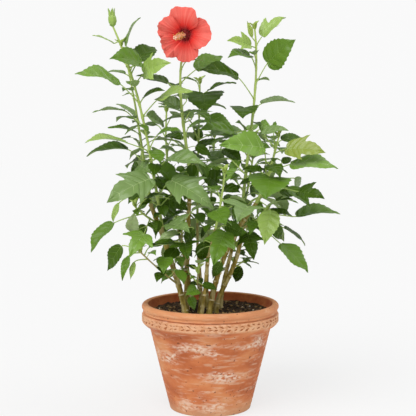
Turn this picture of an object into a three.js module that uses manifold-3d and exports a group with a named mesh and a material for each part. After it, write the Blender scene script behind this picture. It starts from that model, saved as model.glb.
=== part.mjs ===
// A hibiscus shrub in its terracotta pot: nine woody stems rise from the soil, green shoots
// carry on from them with lobed and oval leaves, one open bloom and one bud.
// Millimetres, +Z up. The origin is the centre of the pot's flat underside, and -Y is the front.
// Headings are degrees seen from above: 0 is +X (right), 90 is +Y (back), 270 is the front.

import * as THREE from 'three';
import { mergeVertices } from 'three/addons/utils/BufferGeometryUtils.js';
import Module from 'manifold-3d';

const wasm = await Module();
wasm.setup();

// Driving dimensions

const POT_HEIGHT = 232;
const RIM_RADIUS = 150;
const MOUTH_RADIUS = 135.5;
const FOOT_RADIUS = 89.5;
const BODY_TOP_RADIUS = 132.5;
const BODY_TOP = 178;
const BAND_BOTTOM = 193;
const BAND_TOP = 208;
const GROOVE_DEPTH = 2.6;
const WALL = 10.5;
const FLOOR_THICKNESS = 12;
const SOIL_LEVEL = 214;
const POT_SEGMENTS = 36;

const GAP = 0.3;
const STEM_SIDES = 7;
const SHOOT_SIDES = 5;
const STEM_STEPS = 5;
const SHOOT_STEPS = 7;
const TWIG_SIDES = 4;
const TWIG_STEPS = 3;
const STALK_RADIUS = 1.4;
const BLADE_THICKNESS = 2.4;
const BLADE_BEND = 26;
const BLADE_FOLD = 12;
const GOLDEN_ANGLE = 137.5;

// Woody stems: a curve from the soil (first place) by two places it bends towards, to its tip,
// and the radius at the foot and at the tip.

const STEMS = {
  stem_left: {
    curve: [[-53, -44, SOIL_LEVEL], [-62, -40, 262], [-90, -18, 350], [-130, 6, 446]],
    radius: [6.5, 4.6],
  },
  stem_centre: {
    curve: [[-52, -12, SOIL_LEVEL], [-52, -8, 300], [-49, 0, 400], [-43, 5, 497]],
    radius: [5.6, 4.2],
  },
  stem_middle: {
    curve: [[-24, -34, SOIL_LEVEL], [-16, -14, 270], [-24, 0, 300], [-28, 22, 350]],
    radius: [3.8, 3.2],
  },
  stem_front: {
    curve: [[-19, -53, SOIL_LEVEL], [-10, -50, 260], [-10, -52, 300], [-4, -62, 340]],
    radius: [4.2, 3.6],
  },
  stem_right: {
    curve: [[-2, -42, SOIL_LEVEL], [8, -34, 282], [28, -10, 356], [100, -10, 450]],
    radius: [6.2, 4.2],
  },
  stem_right_back: {
    curve: [[12, -22, SOIL_LEVEL], [14, -20, 262], [64, 0, 304], [68, 16, 384]],
    radius: [5.6, 4.2],
  },
  stem_back_left: {
    curve: [[-40, 28, SOIL_LEVEL], [-44, 40, 260], [-54, 62, 310], [-66, 80, 355]],
    radius: [5.0, 3.8],
  },
  stem_back_right: {
    curve: [[22, 26, SOIL_LEVEL], [26, 40, 260], [40, 62, 310], [54, 84, 355]],
    radius: [5.0, 3.8],
  },
  stem_back: {
    curve: [[-8, 44, SOIL_LEVEL], [-9, 60, 260], [-8, 84, 300], [-4, 106, 345]],
    radius: [4.6, 3.6],
  },
};

// Leaf forms: width as a share of length, and the half width (a share of the widest) at
// stations along the blade.

const LEAF_FORMS = {
  plain: { width: 0.56, stations: [[0.22, 0.96], [0.62, 0.84]] },
  narrow: { width: 0.3, stations: [[0.42, 1.0]] },
  broad: { width: 0.76, stations: [[0.18, 0.95], [0.62, 0.84]] },
  heart: { width: 1.06, stations: [[0.12, 0.84], [0.5, 0.92]] },
  lobed: { width: 0.76, stations: [[0.14, 0.7], [0.48, 1.0], [0.6, 0.5]] },
  spread: { width: 1.1, stations: [[0.36, 1.0], [0.52, 0.44]] },
  petal: { width: 1.02, stations: [[0.2, 0.34], [0.5, 0.8], [0.76, 1.0], [0.94, 0.72]] },
};

// Masses of foliage. Each springs from a stem (at: share of the stem's length) and follows one
// shoot. "seen" are the leaves that the front view shows best: the height z of the node, the
// heading to, the stalk's rise and length, the blade's own swing from that heading, its length,
// pitch and tilt (how far its face turns from the sky to the front). "rule" grows the rest.

const MASSES = {
  foliage_left_tall: {
    on: 'stem_left', at: 0.72, seed: 11, radius: [3.6, 1.9],
    shoot: [[-126, -20, 540], [-143, -38, 690], [-207, -34, 829]],
    seen: [
      { z: 471, to: 253, rise: 39, stalk: 54, swing: -42, blade: 112, pitch: -24, tilt: 51, form: 'lobed' },
      { z: 462, to: 311, rise: 39, stalk: 62, swing: 22, blade: 116, pitch: -28, tilt: 45, form: 'lobed' },
      { z: 663, to: 210, rise: 42, stalk: 64, blade: 102, pitch: 12, tilt: 35 },
      { z: 701, to: 0, rise: 52, stalk: 33, swing: -40, blade: 78, pitch: 16, tilt: 68, form: 'lobed' },
      { z: 725, to: 0, rise: 60, stalk: 34, swing: 50, blade: 68, pitch: 30, tilt: 40, form: 'broad' },
      { z: 635, to: 350, rise: 47, stalk: 52, swing: -10, blade: 80, pitch: 15, tilt: 28 },
      { z: 561, to: 208, rise: 20, stalk: 58, blade: 95, pitch: 4, tilt: 13 },
      { z: 510, to: 322, rise: 42, stalk: 50, swing: 14, blade: 92, pitch: -4, tilt: 30 },
      { z: 566, to: 320, rise: 51, stalk: 40, swing: 13, blade: 58, pitch: 13, tilt: 25 },
      { z: 780, to: 326, rise: 9, stalk: 12, swing: 77, blade: 76, pitch: 62, tilt: -10, form: 'narrow' },
      { z: 738, to: 340, rise: 20, stalk: 30, swing: -130, blade: 74, pitch: 8, tilt: 48, form: 'broad' },
      { z: 714, to: 168, rise: 36, stalk: 20, blade: 45, pitch: 6, tilt: 15 },
      { z: 794, to: 183, rise: -20, stalk: 13, swing: 30, blade: 52, pitch: 16, tilt: 20, form: 'narrow' },
      { z: 662, to: 3, rise: 55, stalk: 17, swing: -37, blade: 58, pitch: 16, tilt: 35 },
      { z: 635, to: 3, rise: 11, stalk: 10, swing: 34, blade: 62, pitch: -24, tilt: 50 },
      { z: 510, to: 182, rise: 35, stalk: 36, swing: 123, blade: 46, pitch: -17, tilt: 70, form: 'broad' },
      { z: 517, to: 52, rise: 12, stalk: 20, swing: -7, blade: 60, pitch: -19, tilt: 55, form: 'broad' },
      { z: 398, to: 318, rise: 15, stalk: 40, swing: 8, blade: 78, pitch: -8, tilt: 45, form: 'lobed' },
      { z: 441, to: 180, rise: 32, stalk: 25, swing: -39, blade: 40, pitch: -32, tilt: 50 },
      { z: 441, to: 28, rise: 39, stalk: 40, swing: 83, blade: 66, pitch: -57, tilt: 60 },
      { z: 464, to: 10, rise: -10, stalk: 26, swing: 20, blade: 50, pitch: -32, tilt: 60 },
    ],
    rule: { from: 420, to: 740, every: 64, first: 70, blade: [80, 46] },
  },
  foliage_left_second: {
    on: 'stem_left', at: 0.99, seed: 12, radius: [3.8, 1.6],
    shoot: [[-148, 28, 540], [-158, 48, 640], [-182, 56, 745]],
    seen: [
      { z: 536, to: 161, rise: 36, stalk: 48, swing: 15, blade: 96, pitch: -6, tilt: 14 },
      { z: 628, to: 103, rise: 16, stalk: 25, swing: 38, blade: 70, pitch: 26, tilt: 10, form: 'narrow' },
      { z: 595, to: 242, rise: 22, stalk: 22, swing: -33, blade: 66, pitch: 7, tilt: 15 },
      { z: 477, to: 171, rise: -24, stalk: 72, blade: 48, pitch: -70, tilt: 40, form: 'narrow' },
      { z: 564, to: 116, rise: -51, stalk: 30, swing: 9, blade: 60, pitch: -19, tilt: 40 },
      { z: 502, to: 180, rise: 49, stalk: 18, swing: 65, blade: 45, pitch: 5, tilt: 50 },
      { z: 564, to: 246, rise: -4, stalk: 10, swing: 3, blade: 40, pitch: 42, tilt: 40 },
      { z: 485, to: 106, rise: -39, stalk: 12, swing: 35, blade: 45, pitch: -26, tilt: 50 },
      { z: 477, to: 46, rise: 14, stalk: 30, blade: 60, pitch: 6, tilt: 45, form: 'broad' },
      { z: 519, to: 180, rise: 30, stalk: 18, swing: -61, blade: 44, pitch: -32, tilt: 55, form: 'broad' },
    ],
    rule: { from: 458, to: 730, every: 54, first: 70, blade: [88, 48] },
  },
  foliage_left_front: {
    on: 'stem_left', at: 0.86, seed: 13, radius: [2.4, 1.6],
    shoot: [[-126, -22, 414], [-140, -38, 424], [-160, -54, 446]],
    seen: [
      { z: 410, to: 140, rise: -26, stalk: 26, swing: 30, blade: 52, pitch: -51, tilt: 50 },
      { z: 429, to: 172, rise: -18, stalk: 68, swing: 40, blade: 82, pitch: -47, tilt: 8 },
      { z: 417, to: 256, rise: -32, stalk: 54, swing: -21, blade: 64, pitch: -41, tilt: 60, form: 'spread' },
      { z: 408, to: 207, rise: -17, stalk: 60, swing: 82, blade: 50, pitch: 64, tilt: 70 },
      { z: 420, to: 300, rise: -30, stalk: 20, blade: 40, pitch: -20, tilt: 50 },
    ],
    rule: { from: 400, to: 440, every: 20, first: 100, blade: [60, 50] },
  },
  foliage_left_low: {
    on: 'stem_left', at: 0.34, seed: 14, radius: [2.2, 1.4],
    shoot: [[-92, -52, 296], [-118, -72, 322], [-147, -88, 354]],
    seen: [
      { z: 352, to: 187, rise: -14, stalk: 27, swing: 61, blade: 58, pitch: -56, tilt: 40, form: 'narrow' },
      { z: 337, to: 186, rise: -12, stalk: 29, swing: 69, blade: 42, pitch: -53, tilt: 40, form: 'narrow' },
      { z: 353, to: 160, rise: 14, stalk: 45, swing: -15, blade: 68, pitch: -56, tilt: 45 },
      { z: 317, to: 0, rise: 50, stalk: 27, swing: -93, blade: 48, pitch: -31, tilt: 70, form: 'broad' },
      { z: 307, to: 242, rise: -7, stalk: 8, swing: 17, blade: 36, pitch: -25, tilt: 60 },
    ],
    rule: { from: 305, to: 345, every: 20, first: 60, blade: [34, 40] },
  },
  foliage_centre: {
    on: 'stem_centre', at: 0.99, seed: 15, radius: [3.8, 2.2],
    shoot: [[-46, 5, 560], [-72, 0, 660], [-62, -10, 752]],
    seen: [
      { z: 706, to: 37, rise: 37, stalk: 52, blade: 84, pitch: 24, tilt: 48 },
      { z: 681, to: 151, rise: 40, stalk: 42, swing: 18, blade: 75, pitch: 13, tilt: 20 },
      { z: 590, to: 319, rise: 64, stalk: 26, blade: 58, pitch: 11, tilt: 35 },
      { z: 591, to: 119, rise: -16, stalk: 15, swing: 27, blade: 42, pitch: 15, tilt: 20 },
      { z: 639, to: 267, rise: 18, stalk: 22, swing: -55, blade: 58, pitch: 10, tilt: 12 },
      { z: 561, to: 181, rise: 40, stalk: 54, swing: 126, blade: 52, pitch: -9, tilt: 40 },
      { z: 536, to: 180, rise: 37, stalk: 33, swing: 50, blade: 55, pitch: 15, tilt: 35 },
      { z: 621, to: 2, rise: 31, stalk: 22, swing: 124, blade: 40, pitch: 24, tilt: 40 },
      { z: 646, to: 117, rise: 37, stalk: 12, swing: 44, blade: 66, pitch: 21, tilt: 35 },
      { z: 654, to: 48, rise: 52, stalk: 25, swing: 85, blade: 45, pitch: 12, tilt: 20 },
      { z: 509, to: 59, rise: -12, stalk: 25, swing: 79, blade: 50, pitch: 11, tilt: 60, form: 'broad' },
      { z: 542, to: 66, rise: 17, stalk: 20, swing: -17, blade: 46, pitch: -4, tilt: 40 },
    ],
    rule: { from: 505, to: 735, every: 57, first: 80, blade: [86, 44] },
  },
  foliage_centre_low: {
    on: 'stem_centre', at: 0.42, seed: 16, radius: [2.2, 1.5],
    shoot: [[-60, -28, 356], [-64, -44, 380], [-58, -56, 410]],
    seen: [
      { z: 366, to: 190, rise: 10, stalk: 20, swing: 15, blade: 52, pitch: -11, tilt: 30 },
      { z: 372, to: 290, rise: -15, stalk: 20, swing: -13, blade: 60, pitch: -24, tilt: 65, form: 'spread' },
      { z: 348, to: 246, rise: -34, stalk: 25, swing: 34, blade: 35, pitch: -21, tilt: 50 },
      { z: 400, to: 1, rise: -3, stalk: 24, swing: 124, blade: 48, pitch: -46, tilt: 60 },
      { z: 391, to: 245, rise: -1, stalk: 18, swing: -59, blade: 47, pitch: -20, tilt: 30 },
    ],
    rule: { from: 348, to: 408, every: 30, first: 60, blade: [66, 60] },
  },
  foliage_middle: {
    on: 'stem_middle', at: 0.99, seed: 17, radius: [3.0, 1.6],
    shoot: [[-30, 62, 460], [-26, 84, 590], [-23, 84, 712]],
    seen: [
      { z: 680, to: 36, rise: 32, stalk: 25, swing: -23, blade: 72, pitch: 18, tilt: 8, form: 'narrow' },
      { z: 638, to: 332, rise: -16, stalk: 18, swing: 7, blade: 72, pitch: -21, tilt: 45 },
      { z: 679, to: 290, rise: 19, stalk: 22, swing: -25, blade: 80, pitch: -30, tilt: 20, form: 'heart' },
      { z: 584, to: 32, rise: 20, stalk: 35, swing: -26, blade: 82, pitch: 4, tilt: 30 },
      { z: 562, to: 245, rise: 31, stalk: 14, swing: 82, blade: 62, pitch: 12, tilt: 35 },
      { z: 517, to: 0, rise: 21, stalk: 57, swing: 124, blade: 60, pitch: 19, tilt: 60 },
      { z: 539, to: 0, rise: -5, stalk: 47, swing: 29, blade: 50, pitch: -9, tilt: 40 },
      { z: 584, to: 117, rise: -16, stalk: 8, swing: -43, blade: 45, pitch: 44, tilt: 60 },
      { z: 473, to: 0, rise: 20, stalk: 46, swing: -136, blade: 60, pitch: 26, tilt: 70, form: 'broad' },
      { z: 455, to: 0, rise: 21, stalk: 58, swing: -50, blade: 62, pitch: -4, tilt: 45 },
      { z: 558, to: 0, rise: 4, stalk: 57, swing: -37, blade: 60, pitch: -30, tilt: 40 },
      { z: 500, to: 1, rise: 15, stalk: 33, swing: 4, blade: 65, pitch: -2, tilt: 15, form: 'narrow' },
    ],
    rule: { from: 360, to: 700, every: 56, first: 60, blade: [96, 46] },
  },
  foliage_right_tall: {
    on: 'stem_right_back', at: 0.99, seed: 18, radius: [3.8, 1.8],
    shoot: [[71, 38, 530], [113, 28, 690], [96, 28, 828]],
    seen: [
      { z: 673, to: 210, rise: 48, stalk: 64, swing: -12, blade: 92, pitch: 11, tilt: 36 },
      { z: 788, to: 37, rise: 52, stalk: 30, swing: -21, blade: 70, pitch: 39, tilt: 30, form: 'lobed' },
      { z: 636, to: 34, rise: 51, stalk: 36, swing: -23, blade: 80, pitch: 3, tilt: 8 },
      { z: 608, to: 211, rise: -8, stalk: 45, swing: -6, blade: 84, pitch: 6, tilt: 30 },
      { z: 502, to: 71, rise: 37, stalk: 20, swing: -54, blade: 52, pitch: 4, tilt: 20 },
      { z: 705, to: 319, rise: 54, stalk: 57, swing: 4, blade: 84, pitch: 35, tilt: 68, form: 'broad' },
      { z: 784, to: 180, rise: 22, stalk: 13, swing: 20, blade: 56, pitch: 13, tilt: 60, form: 'lobed' },
      { z: 741, to: 184, rise: 62, stalk: 30, swing: 31, blade: 60, pitch: -3, tilt: 38, form: 'broad' },
      { z: 797, to: 183, rise: 51, stalk: 14, swing: 57, blade: 40, pitch: 56, tilt: 70, form: 'narrow' },
      { z: 645, to: 204, rise: 23, stalk: 24, swing: 62, blade: 56, pitch: -23, tilt: 20, form: 'heart' },
      { z: 588, to: 180, rise: 59, stalk: 24, swing: 58, blade: 40, pitch: 26, tilt: 40 },
      { z: 476, to: 44, rise: 21, stalk: 20, swing: 21, blade: 45, pitch: -38, tilt: 60 },
      { z: 540, to: 19, rise: 50, stalk: 24, swing: -75, blade: 60, pitch: 14, tilt: 45 },
    ],
    rule: { from: 396, to: 760, every: 60, first: 100, blade: [90, 40] },
  },
  foliage_right_spreading: {
    on: 'stem_right', at: 0.99, seed: 19, radius: [3.8, 1.6],
    shoot: [[124, -14, 490], [132, -22, 540], [146, -27, 592]],
    seen: [
      { z: 498, to: 258, rise: 58, stalk: 85, swing: -56, blade: 102, pitch: 4, tilt: 60 },
      { z: 557, to: 336, rise: 20, stalk: 30, blade: 88, pitch: -3, tilt: 52, form: 'lobed' },
      { z: 515, to: 339, rise: 22, stalk: 52, blade: 106, pitch: -1, tilt: 32 },
      { z: 489, to: 334, rise: -9, stalk: 78, swing: -11, blade: 66, pitch: -9, tilt: 52, form: 'lobed' },
      { z: 470, to: 335, rise: 12, stalk: 60, swing: -24, blade: 66, pitch: -37, tilt: 30 },
      { z: 456, to: 302, rise: -22, stalk: 52, swing: -53, blade: 80, pitch: -57, tilt: 60 },
      { z: 489, to: 17, rise: 11, stalk: 70, swing: 60, blade: 50, pitch: -35, tilt: 60 },
      { z: 474, to: 286, rise: 33, stalk: 60, swing: -25, blade: 82, pitch: -27, tilt: 50, form: 'heart' },
      { z: 565, to: 130, rise: 40, stalk: 55, swing: -41, blade: 42, pitch: 51, tilt: 70 },
      { z: 561, to: 112, rise: 51, stalk: 60, swing: -16, blade: 30, pitch: 41, tilt: 60, form: 'narrow' },
      { z: 569, to: 152, rise: 43, stalk: 45, swing: -176, blade: 62, pitch: 8, tilt: 30 },
      { z: 573, to: 14, rise: 45, stalk: 18, blade: 60, pitch: 2, tilt: 35 },
      { z: 509, to: 31, rise: 37, stalk: 45, swing: 9, blade: 32, pitch: 18, tilt: 60 },
      { z: 466, to: 26, rise: 10, stalk: 60, swing: 23, blade: 40, pitch: -22, tilt: 50 },
      { z: 505, to: 136, rise: 37, stalk: 20, swing: -6, blade: 52, pitch: 3, tilt: 25 },
      { z: 490, to: 22, rise: -28, stalk: 35, swing: 25, blade: 52, pitch: -5, tilt: 60 },
      { z: 472, to: 133, rise: 27, stalk: 30, swing: -73, blade: 36, pitch: -37, tilt: 60 },
    ],
    rule: { from: 455, to: 585, every: 28, first: 40, blade: [90, 56] },
  },
  foliage_right_low: {
    on: 'stem_right', at: 0.76, seed: 20, radius: [2.8, 1.8],
    shoot: [[76, -14, 400], [98, -14, 410], [124, -8, 426]],
    seen: [
      { z: 425, to: 9, rise: -5, stalk: 66, blade: 102, pitch: 4, tilt: 16 },
      { z: 409, to: 326, rise: -33, stalk: 80, blade: 88, pitch: -41, tilt: 14 },
      { z: 418, to: 25, rise: -24, stalk: 62, blade: 70, pitch: -36, tilt: 18 },
      { z: 422, to: 60, rise: 10, stalk: 24, swing: -40, blade: 60, pitch: -8, tilt: 22 },
      { z: 400, to: 76, rise: 31, stalk: 30, swing: -56, blade: 56, pitch: -47, tilt: 45, form: 'narrow' },
      { z: 403, to: 310, rise: 27, stalk: 20, swing: -60, blade: 44, pitch: -34, tilt: 50 },
      { z: 396, to: 247, rise: 7, stalk: 20, swing: -6, blade: 50, pitch: -20, tilt: 60, form: 'broad' },
      { z: 403, to: 312, rise: 48, stalk: 30, swing: -64, blade: 46, pitch: 32, tilt: 60 },
      { z: 415, to: 0, rise: -27, stalk: 32, swing: 50, blade: 50, pitch: -43, tilt: 60 },
      { z: 399, to: 285, rise: -52, stalk: 16, blade: 72, pitch: -46, tilt: 60, form: 'lobed' },
    ],
    rule: { from: 392, to: 424, every: 11, first: 120, blade: [74, 64] },
  },
  foliage_front: {
    on: 'stem_front', at: 0.98, seed: 21, radius: [3.2, 1.6],
    shoot: [[12, -84, 400], [24, -98, 460], [30, -104, 520]],
    seen: [
      { z: 378, to: 322, rise: 30, stalk: 35, swing: -77, blade: 86, pitch: -48, tilt: 72, form: 'lobed' },
      { z: 463, to: 322, rise: -9, stalk: 70, swing: -70, blade: 80, pitch: -16, tilt: 35, form: 'spread' },
      { z: 432, to: 245, rise: 28, stalk: 20, swing: 39, blade: 62, pitch: -24, tilt: 60, form: 'broad' },
      { z: 370, to: 127, rise: -1, stalk: 30, swing: -31, blade: 56, pitch: -57, tilt: 70 },
      { z: 360, to: 0, rise: -55, stalk: 37, swing: 149, blade: 40, pitch: -61, tilt: 60 },
      { z: 398, to: 40, rise: 20, stalk: 26, swing: -20, blade: 42, pitch: -25, tilt: 60, form: 'broad' },
      { z: 389, to: 117, rise: -19, stalk: 30, blade: 46, pitch: -47, tilt: 60 },
      { z: 433, to: 21, rise: 28, stalk: 34, swing: 35, blade: 56, pitch: 9, tilt: 50, form: 'broad' },
    ],
    rule: { from: 352, to: 515, every: 54, first: 190, blade: [80, 50] },
  },
  foliage_low: {
    on: 'stem_middle', at: 0.24, seed: 25, radius: [2.2, 1.4],
    shoot: [[-26, -40, 262], [-28, -58, 280], [-26, -64, 306]],
    seen: [
      { z: 266, to: 262, rise: 8, stalk: 24, swing: -30, blade: 38, pitch: -9, tilt: 60, form: 'broad' },
      { z: 255, to: 184, rise: -18, stalk: 22, swing: 96, blade: 34, pitch: -48, tilt: 60 },
      { z: 277, to: 73, rise: 8, stalk: 8, swing: 48, blade: 40, pitch: 2, tilt: 45, form: 'broad' },
      { z: 285, to: 330, rise: -20, stalk: 14, swing: 30, blade: 34, pitch: -17, tilt: 45 },
    ],
    rule: { from: 262, to: 304, every: 21, first: 20, blade: [36, 44] },
  },
  foliage_low_left: {
    on: 'stem_back_left', at: 0.42, seed: 26, radius: [2.4, 1.5],
    shoot: [[-58, 66, 284], [-70, 74, 305], [-78, 70, 345]],
    seen: [],
    rule: { from: 286, to: 342, every: 11, first: 290, blade: [54, 48] },
  },
  foliage_low_right: {
    on: 'stem_back_right', at: 0.42, seed: 27, radius: [2.4, 1.5],
    shoot: [[44, 66, 284], [56, 76, 305], [62, 72, 345]],
    seen: [
      { z: 298, to: 0, rise: 3, stalk: 20, swing: 129, blade: 44, pitch: -62, tilt: 55 },
      { z: 306, to: 0, rise: 10, stalk: 21, swing: 53, blade: 40, pitch: -26, tilt: 40, form: 'narrow' },
    ],
    rule: { from: 286, to: 342, every: 11, first: 190, blade: [50, 46] },
  },
  foliage_back_left: {
    on: 'stem_back_left', at: 0.99, seed: 22, radius: [3.4, 1.7],
    shoot: [[-90, 115, 450], [-108, 140, 550], [-100, 145, 650]],
    seen: [],
    rule: { from: 362, to: 645, every: 25, first: 30, blade: [108, 54] },
  },
  foliage_back_right: {
    on: 'stem_back_right', at: 0.99, seed: 23, radius: [3.4, 1.7],
    shoot: [[80, 120, 430], [96, 145, 510], [104, 150, 590]],
    seen: [],
    rule: { from: 362, to: 585, every: 24, first: 300, blade: [108, 56] },
  },
  foliage_back: {
    on: 'stem_back', at: 0.99, seed: 24, radius: [3.2, 1.7],
    shoot: [[0, 140, 420], [5, 172, 500], [10, 180, 590]],
    seen: [],
    rule: { from: 352, to: 585, every: 24, first: 80, blade: [108, 56] },
  },
};

// The bloom: where its throat is, which way it faces, and its parts' sizes.

const BLOOM = {
  throat: [-54, -50, 806], facing: [-0.2, -0.96, -0.06], petals: 5, firstPetal: 100,
  petalLength: 58, spread: 30, arch: 42, calyxLength: 22, calyxRadius: 8.5, cupLength: 14, cupRadius: 12,
  columnLength: 46, columnLean: [-0.42, -0.9, 0.02], columnRadius: [2.4, 4.2],
};
const BUD = { length: 24, radius: 9.5, teeth: 5, toothLength: 21 };

// Curves and random numbers

const vector = (place) => new THREE.Vector3(...place);
const UP = vector([0, 0, 1]);
const FRONT = vector([0, -1, 0]);

function seededRandom(seed) {
  let state = seed >>> 0;
  return () => {
    state = (Math.imul(state, 1664525) + 1013904223) >>> 0;
    return state / 4294967296;
  };
}

function direction(heading, rise) {
  const h = THREE.MathUtils.degToRad(heading);
  const r = THREE.MathUtils.degToRad(rise);
  return new THREE.Vector3(Math.cos(h) * Math.cos(r), Math.sin(h) * Math.cos(r), Math.sin(r));
}

function limbOf(places, radius) {
  const bezier = new THREE.CubicBezierCurve3(...places.map(vector));
  return {
    point: (t) => bezier.getPoint(t),
    tangent: (t) => bezier.getTangent(t),
    radius: (t) => radius[0] + (radius[1] - radius[0]) * t,
  };
}

function shareAtHeight(limb, height) {
  let low = 0;
  let high = 1;
  for (let i = 0; i < 30; i += 1) {
    const middle = (low + high) / 2;
    if (limb.point(middle).z < height) low = middle;
    else high = middle;
  }
  return (low + high) / 2;
}

// Closed bodies

function makeSolid(positions, triangles) {
  const mesh = new wasm.Mesh({
    numProp: 3,
    vertProperties: new Float32Array(positions.flatMap((p) => [p.x, p.y, p.z])),
    triVerts: new Uint32Array(triangles.flat()),
  });
  return new wasm.Manifold(mesh);
}

function largestBody(solid) {
  const bodies = solid.decompose();
  return bodies.reduce((best, body) => (body.volume() > best.volume() ? body : best));
}

function geometryOf(solid) {
  const { vertProperties, triVerts } = largestBody(solid).getMesh();
  const geometry = new THREE.BufferGeometry();
  geometry.setAttribute('position', new THREE.BufferAttribute(vertProperties, 3));
  geometry.setIndex(new THREE.BufferAttribute(triVerts, 1));
  geometry.computeVertexNormals();
  return geometry;
}

// A tapering tube through places, with a radius at each and flat ends. A foot axis gives the
// direction that the first end is cut square to.
function taperedTube(places, radii, sides, footAxis) {
  const positions = [];
  const triangles = [];
  let side = new THREE.Vector3();
  places.forEach((place, i) => {
    const ahead = places[Math.min(i + 1, places.length - 1)];
    const behind = places[Math.max(i - 1, 0)];
    const run = ahead.clone().sub(behind).normalize();
    const along = i === 0 && footAxis ? footAxis : run;
    if (i === 0) side = Math.abs(run.z) < 0.9 ? UP.clone() : vector([1, 0, 0]);
    side = side.sub(along.clone().multiplyScalar(side.dot(along))).normalize();
    const across = along.clone().cross(side);
    for (let k = 0; k < sides; k += 1) {
      const angle = (2 * Math.PI * k) / sides;
      const spoke = side.clone().multiplyScalar(Math.cos(angle)).addScaledVector(across, Math.sin(angle));
      positions.push(place.clone().addScaledVector(spoke, radii[i]));
    }
  });
  for (let i = 0; i < places.length - 1; i += 1) {
    for (let k = 0; k < sides; k += 1) {
      const a = i * sides + k;
      const b = i * sides + ((k + 1) % sides);
      triangles.push([a, b, b + sides], [a, b + sides, a + sides]);
    }
  }
  const last = (places.length - 1) * sides;
  for (let k = 1; k < sides - 1; k += 1) {
    triangles.push([0, k + 1, k], [last, last + k, last + k + 1]);
  }
  return makeSolid(positions, triangles);
}

function limbTube(limb, steps, sides, { extra = 0, reach = 0, footAxis } = {}) {
  const places = [];
  const radii = [];
  for (let i = 0; i <= steps; i += 1) {
    places.push(limb.point(i / steps));
    radii.push(limb.radius(i / steps) + extra);
  }
  places[0].addScaledVector(limb.tangent(0), -reach);
  places[steps].addScaledVector(limb.tangent(1), reach);
  return taperedTube(places, radii, sides, footAxis);
}

// A blade: base point, forward and face directions, length, and how far it bends over from
// base to tip. It is thickest at the midrib and thins to its margin.
function bladePlace(blade, share, halfWidth, lift) {
  const turn = blade.bend * share;
  const radius = blade.length / blade.bend;
  const normal = blade.face.clone().multiplyScalar(Math.cos(turn))
    .addScaledVector(blade.forward, Math.sin(turn));
  return blade.base.clone()
    .addScaledVector(blade.forward, radius * Math.sin(turn))
    .addScaledVector(blade.face, radius * (Math.cos(turn) - 1))
    .addScaledVector(blade.side, halfWidth * Math.cos(blade.fold))
    .addScaledVector(normal, Math.abs(halfWidth) * Math.sin(blade.fold) + lift);
}

// The corners of each ring run upper side, right margin, underside, left margin.
function ringAt(blade, share, half, thickness) {
  return [
    bladePlace(blade, share, 0, thickness / 2),
    bladePlace(blade, share, -half, 0),
    bladePlace(blade, share, 0, -thickness / 2),
    bladePlace(blade, share, half, 0),
  ];
}

function stalkRing(blade, place, radius) {
  return [
    place.clone().addScaledVector(blade.face, radius),
    place.clone().addScaledVector(blade.side, -radius),
    place.clone().addScaledVector(blade.face, -radius),
    place.clone().addScaledVector(blade.side, radius),
  ];
}

// Joins four-cornered rings into one body that is flat at its root and pointed at its tip.
function ringSolid(rings, tip) {
  const corners = 4;
  const triangles = [[0, 2, 1], [0, 3, 2]];
  for (let i = 0; i < rings.length - 1; i += 1) {
    for (let k = 0; k < corners; k += 1) {
      const a = i * corners + k;
      const b = i * corners + ((k + 1) % corners);
      triangles.push([a, b, b + corners], [a, b + corners, a + corners]);
    }
  }
  const last = (rings.length - 1) * corners;
  const end = rings.length * corners;
  for (let k = 0; k < corners; k += 1) triangles.push([last + k, last + ((k + 1) % corners), end]);
  return makeSolid([...rings.flat(), tip], triangles);
}

function bladeRings(blade) {
  const form = LEAF_FORMS[blade.form];
  const half = (blade.length * form.width) / 2;
  return form.stations.map(([share, wide]) => ringAt(blade, share, half * wide, BLADE_THICKNESS));
}

function bladeSolid(blade, rootRadius) {
  const root = stalkRing(blade, blade.base, rootRadius);
  return ringSolid([root, ...bladeRings(blade)], bladePlace(blade, 1, 0, 0));
}

// Room in the crown: every limb and leaf is kept as balls, and a new leaf or twig that
// would touch another one's balls is turned a little, or left out.

const STALK_SHARES = [0.15, 0.4, 0.68, 0.95];
const BLADE_SHARES = [0.15, 0.32, 0.49, 0.66, 0.83, 0.98];
const BLADE_ACROSS = [-0.85, -0.4, 0, 0.4, 0.85];
const BLADE_BALL = 0.062;
const STALK_BALL = 2.6;
const LIMB_CLEARANCE = 2.5;
const STEM_BALLS = 24;
const SHOOT_BALLS = 40;
const TWIG_BALLS = 15;
const taken = [];

function halfWidthAt(blade, share) {
  const form = LEAF_FORMS[blade.form];
  return ((blade.length * form.width) / 2) * Math.sin(Math.PI * Math.min(share, 0.96) ** 0.62);
}

function leafBalls(leaf) {
  const balls = [];
  for (const share of STALK_SHARES) {
    balls.push({ place: leaf.root.clone().lerp(leaf.blade.base, share), radius: STALK_BALL });
  }
  for (const share of BLADE_SHARES) {
    for (const across of BLADE_ACROSS) {
      const place = bladePlace(leaf.blade, share, across * halfWidthAt(leaf.blade, share), 0);
      balls.push({ place, radius: leaf.blade.length * BLADE_BALL });
    }
  }
  return balls;
}

function limbBalls(limb, count) {
  const balls = [];
  for (let i = 0; i <= count; i += 1) {
    const t = i / count;
    balls.push({ place: limb.point(t), radius: limb.radius(t) + LIMB_CLEARANCE });
  }
  return balls;
}

function take(owner, balls) {
  const centre = new THREE.Vector3();
  balls.forEach((ball) => centre.addScaledVector(ball.place, 1 / balls.length));
  const reach = Math.max(...balls.map((ball) => ball.place.distanceTo(centre) + ball.radius));
  taken.push({ owner, balls, centre, reach });
}

// The stalk's own shoot is left out of the test of that stalk, and its root may be close to
// another leaf's, because both spring from one shoot.
function isFree(balls, owner) {
  return taken.every((group) => balls.every((ball, i) => {
    if (group.owner === owner && i < STALK_SHARES.length) return true;
    if (group.owner === 'leaf' && i === 0) return true;
    if (ball.place.distanceTo(group.centre) > group.reach + ball.radius) return true;
    return group.balls.every((other) => ball.place.distanceTo(other.place) > ball.radius + other.radius);
  }));
}

// Leaves

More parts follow.
